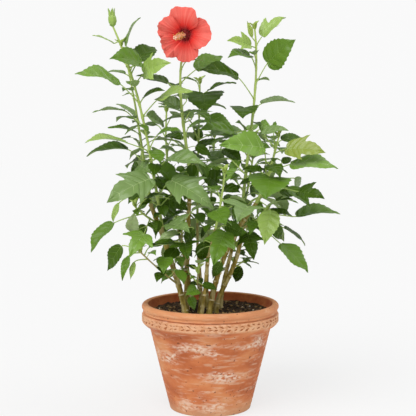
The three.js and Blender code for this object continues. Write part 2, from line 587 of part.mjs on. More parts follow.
// A leaf from its node on a shoot: a stalk in one direction, then the blade, whose chord from
// base to tip has its own heading and pitch.
function makeLeaf(root, spec) {
  const base = root.clone().addScaledVector(direction(spec.to, spec.rise), spec.stalk);
  const chord = direction(spec.to + (spec.swing ?? 0), spec.pitch);
  const light = spec.outward ? direction(spec.to, 0) : FRONT;
  const tilt = THREE.MathUtils.degToRad(spec.tilt);
  const face = UP.clone().multiplyScalar(Math.cos(tilt)).addScaledVector(light, Math.sin(tilt));
  face.addScaledVector(chord, -face.dot(chord)).normalize();
  const side = face.clone().cross(chord);
  const bend = THREE.MathUtils.degToRad(BLADE_BEND);
  const fold = THREE.MathUtils.degToRad(BLADE_FOLD);
  const forward = chord.clone().multiplyScalar(Math.cos(bend / 2)).addScaledVector(face, Math.sin(bend / 2));
  face.multiplyScalar(Math.cos(bend / 2)).addScaledVector(chord, -Math.sin(bend / 2));
  const blade = { base, forward, face, side, bend, fold, length: spec.blade, form: spec.form ?? 'plain' };
  return { root, blade };
}

function leafSolid(leaf) {
  const { root, blade } = leaf;
  const rings = [
    stalkRing(blade, root, STALK_RADIUS * 0.7),
    stalkRing(blade, blade.base, STALK_RADIUS),
  ];
  return ringSolid([...rings, ...bladeRings(blade)], bladePlace(blade, 1, 0, 0));
}

const SEEN_TURNS = [0, 7, -7, 14, -14, 21, -21];
const RULE_TURNS = [0, 22, -22, 44, -44, 70, -70];

function placeLeaf(mass, owner, root, spec, turns) {
  for (const turn of turns) {
    const leaf = makeLeaf(root, { ...spec, to: spec.to + turn });
    const balls = leafBalls(leaf);
    if (isFree(balls, owner)) {
      take('leaf', balls);
      mass.leaves.push(leaf);
      return;
    }
  }
}

// The seeded rule: nodes follow each other up the shoot by the golden angle. Most carry one
// leaf and every third a short twig with leaves of its own; they get smaller towards the tip.
const TWIG_EVERY = 3;
const TWIG_LEAVES = [0.62, 0.985];
const TWIG_RADIUS = [2.1, 1.3];

function growByRule(mass, owner, rule, random) {
  const count = Math.floor((rule.to - rule.from) / rule.every) + 1;
  for (let i = 0; i < count; i += 1) {
    const share = count > 1 ? i / (count - 1) : 1;
    const height = rule.from + i * rule.every;
    const node = mass.limb.point(shareAtHeight(mass.limb, height));
    const heading = rule.first + i * GOLDEN_ANGLE + 24 * (random() - 0.5);
    const blade = (rule.blade[0] + (rule.blade[1] - rule.blade[0]) * share) * (0.85 + 0.3 * random());
    const spec = {
      to: heading, outward: true, blade,
      rise: 12 + 38 * share + 14 * random(),
      stalk: blade * (0.42 + 0.2 * random()),
      pitch: -28 + 36 * share + 22 * (random() - 0.5),
      swing: 40 * (random() - 0.5),
      tilt: 12 + 26 * random(),
      form: random() < 0.28 ? 'lobed' : 'plain',
    };
    if (i % TWIG_EVERY === 1 && share < 0.8) growTwig(mass, owner, node, spec, random);
    else placeLeaf(mass, owner, node, spec, RULE_TURNS);
  }
}

function growTwig(mass, owner, node, spec, random) {
  const length = spec.blade * (0.75 + 0.3 * random());
  const end = node.clone().addScaledVector(direction(spec.to, spec.rise + 12), length);
  const bent = node.clone().lerp(end, 0.5).addScaledVector(UP, -0.08 * length);
  const limb = limbOf([node, bent, bent, end].map((place) => place.toArray()), TWIG_RADIUS);
  const name = `${owner}_twig_${mass.twigs.length}`;
  const balls = limbBalls(limb, TWIG_BALLS).slice(3);
  const draws = TWIG_LEAVES.map(() => [random(), random(), random()]);
  if (!isFree(balls, owner)) return;
  mass.twigs.push(limb);
  take(name, balls);
  TWIG_LEAVES.forEach((at, k) => {
    const [first, second, third] = draws[k];
    placeLeaf(mass, name, limb.point(at), {
      ...spec,
      to: spec.to + (0.5 - k) * 90 + 20 * (first - 0.5),
      blade: spec.blade * (0.72 + 0.14 * second),
      stalk: spec.stalk * 0.6,
      rise: spec.rise + 10 * (third - 0.5),
    }, RULE_TURNS);
  });
}

// The bloom's place, and the room that its petals and the bud take. A tube as long as
// cupLength joins the petals between the calyx and the throat.

const facing = vector(BLOOM.facing).normalize();
const throat = vector(BLOOM.throat);
const calyxFoot = throat.clone().addScaledVector(facing, -BLOOM.calyxLength - BLOOM.cupLength);
const calyxMouth = calyxFoot.clone().addScaledVector(facing, BLOOM.calyxLength);

function ringPlace(centre, axis, angle, radius) {
  const across = UP.clone().addScaledVector(axis, -UP.dot(axis)).normalize();
  const side = across.clone().cross(axis);
  return centre.clone()
    .addScaledVector(side, Math.cos(angle) * radius)
    .addScaledVector(across, Math.sin(angle) * radius);
}

const BLOOM_RINGS = [[0, 1], [20, 6], [38, 9], [54, 12]];
const BLOOM_BALL = 12;

function bloomBalls() {
  return BLOOM_RINGS.flatMap(([radius, count]) => Array.from({ length: count }, (_, i) => {
    const angle = (2 * Math.PI * i) / count;
    return { place: ringPlace(throat, facing, angle, radius), radius: BLOOM_BALL };
  }));
}

function budBalls() {
  const top = vector(MASSES.foliage_left_tall.shoot[2]);
  return [0.3, 0.8, 1.3].map((share) => {
    return { place: top.clone().addScaledVector(UP, share * BUD.length), radius: BUD.radius + 2 };
  });
}

// Stems first, so that every leaf keeps clear of them; then the shoots; then, mass by mass,
// the leaves that show best, and last the leaves by the rule.

const stems = {};
for (const [name, { curve, radius }] of Object.entries(STEMS)) {
  const raised = curve.map(([x, y, z], i) => [x, y, i === 0 ? z + GAP : z]);
  stems[name] = limbOf(raised, radius);
  take(name, limbBalls(stems[name], STEM_BALLS));
}

take('bloom', bloomBalls());
take('bud', budBalls());

const masses = {};
for (const [name, plan] of Object.entries(MASSES)) {
  const root = stems[plan.on].point(plan.at);
  const limb = limbOf([root.toArray(), ...plan.shoot], plan.radius);
  masses[name] = { limb, plan, leaves: [], twigs: [] };
  take(name, limbBalls(limb, SHOOT_BALLS));
}
for (const [name, mass] of Object.entries(masses)) {
  for (const spec of mass.plan.seen) {
    placeLeaf(mass, name, mass.limb.point(shareAtHeight(mass.limb, spec.z)), spec, SEEN_TURNS);
  }
}
for (const [name, mass] of Object.entries(masses)) {
  growByRule(mass, name, mass.plan.rule, seededRandom(mass.plan.seed));
}

// Bud and bloom

function toothSolids(centre, axis, count, radius, length, bend) {
  return Array.from({ length: count }, (_, i) => {
    const angle = (2 * Math.PI * (i + 0.5)) / count;
    const base = ringPlace(centre, axis, angle, radius * 0.8);
    const inward = centre.clone().sub(base).normalize();
    const forward = axis.clone().addScaledVector(inward, -0.08).normalize();
    const face = inward.addScaledVector(forward, -inward.dot(forward)).normalize();
    const side = face.clone().cross(forward);
    return bladeSolid({ base, forward, face, side, bend, fold: 0.2, length, form: 'narrow' }, 1);
  });
}

function budSolids(limb) {
  const foot = limb.point(0.99);
  const axis = UP.clone().addScaledVector(limb.tangent(1), 0.3).normalize();
  const shares = [0, 0.15, 0.5, 0.8, 1];
  const radii = [2.4, 6, BUD.radius, BUD.radius * 0.92, BUD.radius * 0.6];
  const places = shares.map((share) => foot.clone().addScaledVector(axis, share * BUD.length));
  const crown = foot.clone().addScaledVector(axis, BUD.length * 0.78);
  return [
    taperedTube(places, radii, 7),
    ...toothSolids(crown, axis, BUD.teeth, BUD.radius, BUD.toothLength, 0.2),
  ];
}

// The bloom's own stalk and calyx, fused to the centre shoot.
function calyxSolids(limb) {
  const top = limb.point(0.98);
  const bent = calyxFoot.clone().addScaledVector(facing, -14).addScaledVector(UP, -12);
  const sunk = calyxFoot.clone().addScaledVector(facing, 4);
  const stalk = taperedTube([top, bent, calyxFoot, sunk], [2.2, 2, 2.2, 3], 5);
  const waist = calyxFoot.clone().lerp(calyxMouth, 0.3);
  return [stalk, taperedTube([calyxFoot, waist, calyxMouth], [3, 7.5, BLOOM.calyxRadius], 10)];
}

function corollaSolid() {
  const back = calyxMouth.clone().addScaledVector(facing, GAP);
  const front = throat.clone().addScaledVector(facing, -2);
  let solid = taperedTube([back, back.clone().lerp(front, 0.5), front], [6.5, 8, BLOOM.cupRadius], 10);
  for (let i = 0; i < BLOOM.petals; i += 1) {
    const angle = THREE.MathUtils.degToRad(BLOOM.firstPetal + (360 * i) / BLOOM.petals);
    const centre = back.clone().lerp(front, 0.45);
    const base = ringPlace(centre, facing, angle, 3);
    const radial = ringPlace(new THREE.Vector3(), facing, angle, 1);
    const rise = THREE.MathUtils.degToRad(BLOOM.spread);
    const forward = radial.clone().multiplyScalar(Math.cos(rise)).addScaledVector(facing, Math.sin(rise));
    const face = facing.clone().multiplyScalar(Math.cos(rise)).addScaledVector(radial, -Math.sin(rise));
    const side = face.clone().cross(forward);
    const lap = THREE.MathUtils.degToRad(12);
    const turnedFace = face.clone().multiplyScalar(Math.cos(lap)).addScaledVector(side, Math.sin(lap));
    const blade = { base, forward, face: turnedFace, side: turnedFace.clone().cross(forward) };
    const bend = THREE.MathUtils.degToRad(BLOOM.arch);
    const petal = { ...blade, bend, fold: 0.1, length: BLOOM.petalLength, form: 'petal' };
    solid = solid.add(bladeSolid(petal, 2));
  }
  return solid;
}

function columnSolid() {
  const lean = vector(BLOOM.columnLean).normalize();
  const foot = throat.clone().addScaledVector(facing, -2 + GAP);
  const knee = foot.clone().addScaledVector(facing, 8);
  const places = [foot, knee];
  for (const share of [0.45, 0.6, 0.9, 1]) {
    places.push(knee.clone().addScaledVector(lean, share * BLOOM.columnLength));
  }
  const [slim, wide] = BLOOM.columnRadius;
  return taperedTube(places, [slim * 1.2, slim, slim, wide + 1.5, wide, slim * 0.6], 6);
}

// Pot and soil are turned on the pot's axis.

function turnedSolid(outline) {
  const profile = outline.map(([radius, height]) => new THREE.Vector2(radius, height));
  const geometry = new THREE.LatheGeometry(profile, POT_SEGMENTS);
  geometry.rotateX(Math.PI / 2);
  geometry.deleteAttribute('normal');
  geometry.deleteAttribute('uv');
  const merged = mergeVertices(geometry);
  const mesh = new wasm.Mesh({
    numProp: 3,
    vertProperties: merged.getAttribute('position').array,
    triVerts: new Uint32Array(merged.index.array),
  });
  return new wasm.Manifold(mesh);
}

function innerRadius(height) {
  const slope = (BODY_TOP_RADIUS - FOOT_RADIUS) / BODY_TOP;
  const body = FOOT_RADIUS + slope * height - WALL;
  return Math.min(body, MOUTH_RADIUS);
}

const rimMiddle = (BAND_TOP + 5 + POT_HEIGHT) / 2;
const potProfile = [
  [0, 0], [FOOT_RADIUS - 3, 0], [FOOT_RADIUS, 3],
  [BODY_TOP_RADIUS, BODY_TOP],
  [RIM_RADIUS - 7.5, BAND_BOTTOM - 8], [RIM_RADIUS - 1.8, BAND_BOTTOM - 2.5],
  [RIM_RADIUS, (BAND_BOTTOM + BAND_TOP) / 2], [RIM_RADIUS - 0.3, BAND_TOP],
  [RIM_RADIUS - GROOVE_DEPTH, BAND_TOP + 3], [RIM_RADIUS - 0.6, BAND_TOP + 6],
  [RIM_RADIUS, rimMiddle], [RIM_RADIUS - 1.2, POT_HEIGHT - 3.5],
  [RIM_RADIUS - 5, POT_HEIGHT], [MOUTH_RADIUS + 3.5, POT_HEIGHT - 0.4],
  [MOUTH_RADIUS, POT_HEIGHT - 4], [innerRadius(SOIL_LEVEL), SOIL_LEVEL],
  [innerRadius(FLOOR_THICKNESS), FLOOR_THICKNESS], [0, FLOOR_THICKNESS],
];
const soilProfile = [
  [0, FLOOR_THICKNESS + GAP], [innerRadius(FLOOR_THICKNESS) - GAP, FLOOR_THICKNESS + GAP],
  [innerRadius(SOIL_LEVEL) - GAP - 0.1, SOIL_LEVEL], [0, SOIL_LEVEL],
];

// The named parts

const COLOURS = {
  terracotta: { color: 0xcd8257, roughness: 0.85, metalness: 0 },
  soil: { color: 0x2d2319, roughness: 1, metalness: 0 },
  wood: { color: 0x96825f, roughness: 0.8, metalness: 0 },
  leaves: { color: 0x4d8a2f, roughness: 0.45, metalness: 0 },
  petals: { color: 0xf06a58, roughness: 0.5, metalness: 0 },
  stamens: { color: 0xe8b46a, roughness: 0.6, metalness: 0 },
};

const shrub = new THREE.Group();

function addPart(name, solid, look) {
  const mesh = new THREE.Mesh(geometryOf(solid), new THREE.MeshStandardMaterial(COLOURS[look]));
  mesh.name = name;
  shrub.add(mesh);
}

addPart('pot', turnedSolid(potProfile), 'terracotta');
addPart('soil', turnedSolid(soilProfile), 'soil');
for (const [name, limb] of Object.entries(stems)) {
  addPart(name, limbTube(limb, STEM_STEPS, STEM_SIDES, { footAxis: UP }), 'wood');
}
for (const [name, mass] of Object.entries(masses)) {
  let solid = limbTube(mass.limb, SHOOT_STEPS, SHOOT_SIDES);
  for (const twig of mass.twigs) solid = solid.add(limbTube(twig, TWIG_STEPS, TWIG_SIDES));
  for (const leaf of mass.leaves) solid = solid.add(leafSolid(leaf));
  if (name === 'foliage_left_tall') for (const piece of budSolids(mass.limb)) solid = solid.add(piece);
  if (name === 'foliage_centre') for (const piece of calyxSolids(mass.limb)) solid = solid.add(piece);
  const room = { extra: GAP + 0.05, reach: GAP, footAxis: UP };
  const socket = limbTube(stems[mass.plan.on], STEM_STEPS, STEM_SIDES, room);
  addPart(name, solid.subtract(socket), 'leaves');
}
addPart('bloom_petals', corollaSolid(), 'petals');
addPart('bloom_column', columnSolid(), 'stamens');

export default shrub;
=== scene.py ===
import math
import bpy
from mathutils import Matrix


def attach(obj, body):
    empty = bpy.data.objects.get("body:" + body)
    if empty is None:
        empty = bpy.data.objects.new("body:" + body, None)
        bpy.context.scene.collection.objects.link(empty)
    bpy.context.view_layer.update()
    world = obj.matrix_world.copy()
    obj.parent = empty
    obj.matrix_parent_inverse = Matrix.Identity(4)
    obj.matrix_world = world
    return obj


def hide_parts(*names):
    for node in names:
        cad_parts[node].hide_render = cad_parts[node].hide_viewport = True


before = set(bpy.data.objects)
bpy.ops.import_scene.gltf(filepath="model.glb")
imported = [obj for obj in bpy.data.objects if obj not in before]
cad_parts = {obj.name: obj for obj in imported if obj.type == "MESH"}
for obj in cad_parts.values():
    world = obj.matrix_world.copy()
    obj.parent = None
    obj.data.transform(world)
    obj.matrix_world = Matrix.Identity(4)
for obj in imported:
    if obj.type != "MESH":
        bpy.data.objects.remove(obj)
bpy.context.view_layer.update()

from types import SimpleNamespace

import bpy
from mathutils import Vector
import numpy as np

# A hibiscus shrub in its terracotta pot. The plan below is the CAD source's own, in millimetres
# and degrees, and the leaves grow from it by the same rule; every mesh is then written in metres.
# Headings are seen from above: 0 is +X (right), 90 is +Y (back), 270 is the front.

MM = 0.001
UP = np.array([0.0, 0.0, 1.0])
FRONT = np.array([0.0, -1.0, 0.0])
ORIGIN = np.zeros(3)

POT_HEIGHT = 232
RIM_RADIUS = 150
MOUTH_RADIUS = 135.5
FOOT_RADIUS = 89.5
BODY_TOP_RADIUS = 132.5
BODY_TOP = 178
BAND_BOTTOM = 193
BAND_TOP = 208
GROOVE_DEPTH = 2.6
WALL = 10.5
FLOOR_THICKNESS = 12
SOIL_LEVEL = 214
GAP = 0.3
GOLDEN_ANGLE = 137.5
BLADE_BEND = 26
BLADE_FOLD = 12

# Woody stems: the foot's place on the soil, two places that the stem bends towards and its tip,
# then the radius at the foot and at the tip.

STEMS = {
    "stem_left": [(-53, -44), (-62, -40, 262), (-90, -18, 350), (-130, 6, 446), (6.5, 4.6)],
    "stem_centre": [(-52, -12), (-52, -8, 300), (-49, 0, 400), (-43, 5, 497), (5.6, 4.2)],
    "stem_middle": [(-24, -34), (-16, -14, 270), (-24, 0, 300), (-28, 22, 350), (3.8, 3.2)],
    "stem_front": [(-19, -53), (-10, -50, 260), (-10, -52, 300), (-4, -62, 340), (4.2, 3.6)],
    "stem_right": [(-2, -42), (8, -34, 282), (28, -10, 356), (100, -10, 450), (6.2, 4.2)],
    "stem_right_back": [(12, -22), (14, -20, 262), (64, 0, 304), (68, 16, 384), (5.6, 4.2)],
    "stem_back_left": [(-40, 28), (-44, 40, 260), (-54, 62, 310), (-66, 80, 355), (5.0, 3.8)],
    "stem_back_right": [(22, 26), (26, 40, 260), (40, 62, 310), (54, 84, 355), (5.0, 3.8)],
    "stem_back": [(-8, 44), (-9, 60, 260), (-8, 84, 300), (-4, 106, 345), (4.6, 3.6)],
}

# Masses of foliage: the stem each springs from (at: share of its length), the shoot it follows,
# the leaves that the front view shows best, and the rule that grows the rest. Each leaf that
# shows well is a row: the height of its node, its stalk's heading, rise and length, the blade's
# swing from that heading, its length, pitch, tilt towards the front and tone, and its form
# where that isn't plain. A rule gives the heights of the first and the last node, the step
# between nodes, the first one's heading, and the blade's length at the foot and at the tip.

# A dark tone is a deeper green with painted shade in it, for a leaf that lies in the crown's shade.
SEEN = ["z", "to", "rise", "stalk", "swing", "blade", "pitch", "tilt", "tone", "form"]
MASSES = {
    "foliage_left_tall": {
        "on": "stem_left", "at": 0.72, "seed": 11, "radius": [3.6, 1.9],
        "shoot": [[-126, -20, 540], [-143, -38, 690], [-207, -34, 829]],
        "seen": [
            (471, 253, 39, 54, -42, 112, -24, 51, "grey", "lobed"),
            (462, 311, 39, 62, 22, 116, -28, 45, "grey", "lobed"),
            (663, 210, 42, 64, 0, 102, 12, 35, "fresh"),
            (701, 0, 52, 33, -40, 78, 16, 68, "light", "lobed"),
            (725, 0, 60, 34, 50, 68, 30, 40, "dark", "broad"),
            (635, 350, 47, 52, -10, 80, 15, 28, "light"),
            (561, 208, 20, 58, 0, 95, 4, 13, "light"),
            (510, 322, 42, 50, 14, 92, -4, 30, "grey"),
            (566, 320, 51, 40, 13, 58, 13, 25, "mid"),
            (780, 326, 9, 12, 77, 76, 62, -10, "grey", "narrow"),
            (738, 340, 20, 30, -130, 74, 8, 48, "mid", "broad"),
            (714, 168, 36, 20, 0, 45, 6, 15, "grey"),
            (794, 183, -20, 13, 30, 52, 16, 20, "light", "narrow"),
            (662, 3, 55, 17, -37, 58, 16, 35, "dark"),
            (635, 3, 11, 10, 34, 62, -24, 50, "grey"),
            (510, 182, 35, 36, 123, 46, -17, 70, "grey", "broad"),
            (517, 52, 12, 20, -7, 60, -19, 55, "mid", "broad"),
            (398, 318, 15, 40, 8, 78, -8, 45, "grey", "lobed"),
            (441, 180, 32, 25, -39, 40, -32, 50, "mid"),
            (441, 28, 39, 40, 83, 66, -57, 60, "dark"),
            (464, 10, -10, 26, 20, 50, -32, 60, "dark"),
        ],
        "rule": (420, 740, 64, 70, 80, 46),
    },
    "foliage_left_second": {
        "on": "stem_left", "at": 0.99, "seed": 12, "radius": [3.8, 1.6],
        "shoot": [[-148, 28, 540], [-158, 48, 640], [-182, 56, 745]],
        "seen": [
            (536, 161, 36, 48, 15, 96, -6, 14, "dark"),
            (628, 103, 16, 25, 38, 70, 26, 10, "grey", "narrow"),
            (595, 242, 22, 22, -33, 66, 7, 15, "mid"),
            (477, 171, -24, 72, 0, 48, -70, 40, "light", "narrow"),
            (564, 116, -51, 30, 9, 60, -19, 40, "dark"),
            (502, 180, 49, 18, 65, 45, 5, 50, "dark"),
            (564, 246, -4, 10, 3, 40, 42, 40, "dark"),
            (485, 106, -39, 12, 35, 45, -26, 50, "dark"),
            (477, 46, 14, 30, 0, 60, 6, 45, "mid", "broad"),
            (519, 180, 30, 18, -61, 44, -32, 55, "dark", "broad"),
        ],
        "rule": (458, 730, 54, 70, 88, 48),
    },
    "foliage_left_front": {
        "on": "stem_left", "at": 0.86, "seed": 13, "radius": [2.4, 1.6],
        "shoot": [[-126, -22, 414], [-140, -38, 424], [-160, -54, 446]],
        "seen": [
            (410, 140, -26, 26, 30, 52, -51, 50, "dark"),
            (429, 172, -18, 68, 40, 82, -47, 8, "mid"),
            (417, 256, -32, 54, -21, 64, -41, 60, "fresh", "spread"),
            (408, 207, -17, 60, 82, 50, 64, 70, "pale"),
            (420, 300, -30, 20, 0, 40, -20, 50, "dark"),
        ],
        "rule": (400, 440, 20, 100, 60, 50),
    },
    "foliage_left_low": {
        "on": "stem_left", "at": 0.34, "seed": 14, "radius": [2.2, 1.4],
        "shoot": [[-92, -52, 296], [-118, -72, 322], [-147, -88, 354]],
        "seen": [
            (352, 187, -14, 27, 61, 58, -56, 40, "mid", "narrow"),
            (337, 186, -12, 29, 69, 42, -53, 40, "light", "narrow"),
            (353, 160, 14, 45, -15, 68, -56, 45, "dark"),
            (317, 0, 50, 27, -93, 48, -31, 70, "mid", "broad"),
            (307, 242, -7, 8, 17, 36, -25, 60, "dark"),
        ],
        "rule": (305, 345, 20, 60, 34, 40),
    },
    "foliage_centre": {
        "on": "stem_centre", "at": 0.99, "seed": 15, "radius": [3.8, 2.2],
        "shoot": [[-46, 5, 560], [-72, 0, 660], [-62, -10, 752]],
        "seen": [
            (706, 37, 37, 52, 0, 84, 24, 48, "mid"),
            (681, 151, 40, 42, 18, 75, 13, 20, "dark"),
            (590, 319, 64, 26, 0, 58, 11, 35, "fresh"),
            (591, 119, -16, 15, 27, 42, 15, 20, "grey"),
            (639, 267, 18, 22, -55, 58, 10, 12, "mid"),
            (561, 181, 40, 54, 126, 52, -9, 40, "dark"),
            (536, 180, 37, 33, 50, 55, 15, 35, "grey"),
            (621, 2, 31, 22, 124, 40, 24, 40, "grey"),
            (646, 117, 37, 12, 44, 66, 21, 35, "grey"),
            (654, 48, 52, 25, 85, 45, 12, 20, "grey"),
            (509, 59, -12, 25, 79, 50, 11, 60, "mid", "broad"),
            (542, 66, 17, 20, -17, 46, -4, 40, "dark"),
        ],
        "rule": (505, 735, 57, 80, 86, 44),
    },
    "foliage_centre_low": {
        "on": "stem_centre", "at": 0.42, "seed": 16, "radius": [2.2, 1.5],
        "shoot": [[-60, -28, 356], [-64, -44, 380], [-58, -56, 410]],
        "seen": [
            (366, 190, 10, 20, 15, 52, -11, 30, "mid"),
            (372, 290, -15, 20, -13, 60, -24, 65, "dark", "spread"),
            (348, 246, -34, 25, 34, 35, -21, 50, "mid"),
            (400, 1, -3, 24, 124, 48, -46, 60, "dark"),
            (391, 245, -1, 18, -59, 47, -20, 30, "pale"),
        ],
        "rule": (348, 408, 30, 60, 66, 60),
    },
    "foliage_middle": {
        "on": "stem_middle", "at": 0.99, "seed": 17, "radius": [3.0, 1.6],
        "shoot": [[-30, 62, 460], [-26, 84, 590], [-23, 84, 712]],
        "seen": [
            (680, 36, 32, 25, -23, 72, 18, 8, "dark", "narrow"),
            (638, 332, -16, 18, 7, 72, -21, 45, "fresh"),
            (679, 290, 19, 22, -25, 80, -30, 20, "dark", "heart"),
            (584, 32, 20, 35, -26, 82, 4, 30, "grey"),
            (562, 245, 31, 14, 82, 62, 12, 35, "dark"),
            (517, 0, 21, 57, 124, 60, 19, 60, "grey"),
            (539, 0, -5, 47, 29, 50, -9, 40, "dark"),
            (584, 117, -16, 8, -43, 45, 44, 60, "dark"),
            (473, 0, 20, 46, -136, 60, 26, 70, "dark", "broad"),
            (455, 0, 21, 58, -50, 62, -4, 45, "dark"),
            (558, 0, 4, 57, -37, 60, -30, 40, "dark"),
            (500, 1, 15, 33, 4, 65, -2, 15, "dark", "narrow"),
        ],
        "rule": (360, 700, 56, 60, 96, 46),
    },
    "foliage_right_tall": {
        "on": "stem_right_back", "at": 0.99, "seed": 18, "radius": [3.8, 1.8],
        "shoot": [[71, 38, 530], [113, 28, 690], [96, 28, 828]],
        "seen": [
            (673, 210, 48, 64, -12, 92, 11, 36, "dark"),
            (788, 37, 52, 30, -21, 70, 39, 30, "light", "lobed"),
            (636, 34, 51, 36, -23, 80, 3, 8, "grey"),
            (608, 211, -8, 45, -6, 84, 6, 30, "mid"),
            (502, 71, 37, 20, -54, 52, 4, 20, "dark"),
            (705, 319, 54, 57, 4, 84, 35, 68, "mid", "broad"),
            (784, 180, 22, 13, 20, 56, 13, 60, "light", "lobed"),
            (741, 184, 62, 30, 31, 60, -3, 38, "mid", "broad"),
            (797, 183, 51, 14, 57, 40, 56, 70, "young", "narrow"),
            (645, 204, 23, 24, 62, 56, -23, 20, "dark", "heart"),
            (588, 180, 59, 24, 58, 40, 26, 40, "mid"),
            (476, 44, 21, 20, 21, 45, -38, 60, "dark"),
            (540, 19, 50, 24, -75, 60, 14, 45, "mid"),
        ],
        "rule": (396, 760, 60, 100, 90, 40),
    },
    "foliage_right_spreading": {
        "on": "stem_right", "at": 0.99, "seed": 19, "radius": [3.8, 1.6],
        "shoot": [[124, -14, 490], [132, -22, 540], [146, -27, 592]],
        "seen": [
            (498, 258, 58, 85, -56, 102, 4, 60, "fresh"),
            (557, 336, 20, 30, 0, 88, -3, 52, "olive", "lobed"),
            (515, 339, 22, 52, 0, 106, -1, 32, "fresh"),
            (489, 334, -9, 78, -11, 66, -9, 52, "dark", "lobed"),
            (470, 335, 12, 60, -24, 66, -37, 30, "mid"),
            (456, 302, -22, 52, -53, 80, -57, 60, "light"),
            (489, 17, 11, 70, 60, 50, -35, 60, "grey"),
            (474, 286, 33, 60, -25, 82, -27, 50, "mid", "heart"),
            (565, 130, 40, 55, -41, 42, 51, 70, "fresh"),
            (561, 112, 51, 60, -16, 30, 41, 60, "mid", "narrow"),
            (569, 152, 43, 45, -176, 62, 8, 30, "grey"),
            (573, 14, 45, 18, 0, 60, 2, 35, "dark"),
            (509, 31, 37, 45, 9, 32, 18, 60, "dark"),
            (466, 26, 10, 60, 23, 40, -22, 50, "dark"),
            (505, 136, 37, 20, -6, 52, 3, 25, "dark"),
            (490, 22, -28, 35, 25, 52, -5, 60, "dark"),
            (472, 133, 27, 30, -73, 36, -37, 60, "mid"),
        ],
        "rule": (455, 585, 28, 40, 90, 56),
    },
    "foliage_right_low": {
        "on": "stem_right", "at": 0.76, "seed": 20, "radius": [2.8, 1.8],
        "shoot": [[76, -14, 400], [98, -14, 410], [124, -8, 426]],
        "seen": [
            (425, 9, -5, 66, 0, 102, 4, 16, "mid"),
            (409, 326, -33, 80, 0, 88, -41, 14, "mid"),
            (418, 25, -24, 62, 0, 70, -36, 18, "dark"),
            (422, 60, 10, 24, -40, 60, -8, 22, "dark"),
            (400, 76, 31, 30, -56, 56, -47, 45, "dark", "narrow"),
            (403, 310, 27, 20, -60, 44, -34, 50, "mid"),
            (396, 247, 7, 20, -6, 50, -20, 60, "mid", "broad"),
            (403, 312, 48, 30, -64, 46, 32, 60, "mid"),
            (415, 0, -27, 32, 50, 50, -43, 60, "dark"),
            (399, 285, -52, 16, 0, 72, -46, 60, "dark", "lobed"),
        ],
        "rule": (392, 424, 11, 120, 74, 64),
    },
    "foliage_front": {
        "on": "stem_front", "at": 0.98, "seed": 21, "radius": [3.2, 1.6],
        "shoot": [[12, -84, 400], [24, -98, 460], [30, -104, 520]],
        "seen": [
            (378, 322, 30, 35, -77, 86, -48, 72, "mid", "lobed"),
            (463, 322, -9, 70, -70, 80, -16, 35, "grey", "spread"),
            (432, 245, 28, 20, 39, 62, -24, 60, "mid", "broad"),
            (370, 127, -1, 30, -31, 56, -57, 70, "dark"),
            (360, 0, -55, 37, 149, 40, -61, 60, "dark"),
            (398, 40, 20, 26, -20, 42, -25, 60, "dark", "broad"),
            (389, 117, -19, 30, 0, 46, -47, 60, "dark"),
            (433, 21, 28, 34, 35, 56, 9, 50, "dark", "broad"),
        ],
        "rule": (352, 515, 54, 190, 80, 50),
    },
    "foliage_low": {
        "on": "stem_middle", "at": 0.24, "seed": 25, "radius": [2.2, 1.4],
        "shoot": [[-26, -40, 262], [-28, -58, 280], [-26, -64, 306]],
        "seen": [
            (266, 262, 8, 24, -30, 38, -9, 60, "mid", "broad"),
            (255, 184, -18, 22, 96, 34, -48, 60, "mid"),
            (277, 73, 8, 8, 48, 40, 2, 45, "dark", "broad"),
            (285, 330, -20, 14, 30, 34, -17, 45, "dark"),
        ],
        "rule": (262, 304, 21, 20, 36, 44),
    },
    "foliage_low_left": {
        "on": "stem_back_left", "at": 0.42, "seed": 26, "radius": [2.4, 1.5],
        "shoot": [[-58, 66, 284], [-70, 74, 305], [-78, 70, 345]],
        "seen": [],
        "rule": (286, 342, 11, 290, 54, 48),
    },
    "foliage_low_right": {
        "on": "stem_back_right", "at": 0.42, "seed": 27, "radius": [2.4, 1.5],
        "shoot": [[44, 66, 284], [56, 76, 305], [62, 72, 345]],
        "seen": [
            (298, 0, 3, 20, 129, 44, -62, 55, "dark"),
            (306, 0, 10, 21, 53, 40, -26, 40, "dark", "narrow"),
        ],
        "rule": (286, 342, 11, 190, 50, 46),
    },
    "foliage_back_left": {
        "on": "stem_back_left", "at": 0.99, "seed": 22, "radius": [3.4, 1.7],
        "shoot": [[-90, 115, 450], [-108, 140, 550], [-100, 145, 650]],
        "seen": [],
        "rule": (362, 645, 25, 30, 108, 54),
    },
    "foliage_back_right": {
        "on": "stem_back_right", "at": 0.99, "seed": 23, "radius": [3.4, 1.7],
        "shoot": [[80, 120, 430], [96, 145, 510], [104, 150, 590]],
        "seen": [],
        "rule": (362, 585, 24, 300, 108, 56),
    },
    "foliage_back": {
        "on": "stem_back", "at": 0.99, "seed": 24, "radius": [3.2, 1.7],
        "shoot": [[0, 140, 420], [5, 172, 500], [10, 180, 590]],
        "seen": [],
        "rule": (352, 585, 24, 80, 108, 56),
    },
}

# The bloom's throat, the way it faces and its parts' sizes, and the bud's.

BLOOM = {
    "on": "foliage_centre", "throat": [-54, -50, 806], "facing": [-0.2, -0.96, -0.06],
    "petals": 5, "first_petal": 100,
    "petal_length": 58, "spread": 30, "arch": 42, "calyx_length": 22, "calyx_radius": 8.5,
    "cup_length": 14, "cup_radius": 12,
    "column_length": 46, "column_lean": [-0.42, -0.9, 0.02], "column_radius": 2.4,
}
BUD = {"on": "foliage_left_tall", "length": 24, "radius": 9.5, "teeth": 5, "tooth_length": 21}

# Leaf forms: the width as a share of the length, and the half outline from the base to the tip
# (along the blade, across it) as shares of the length.

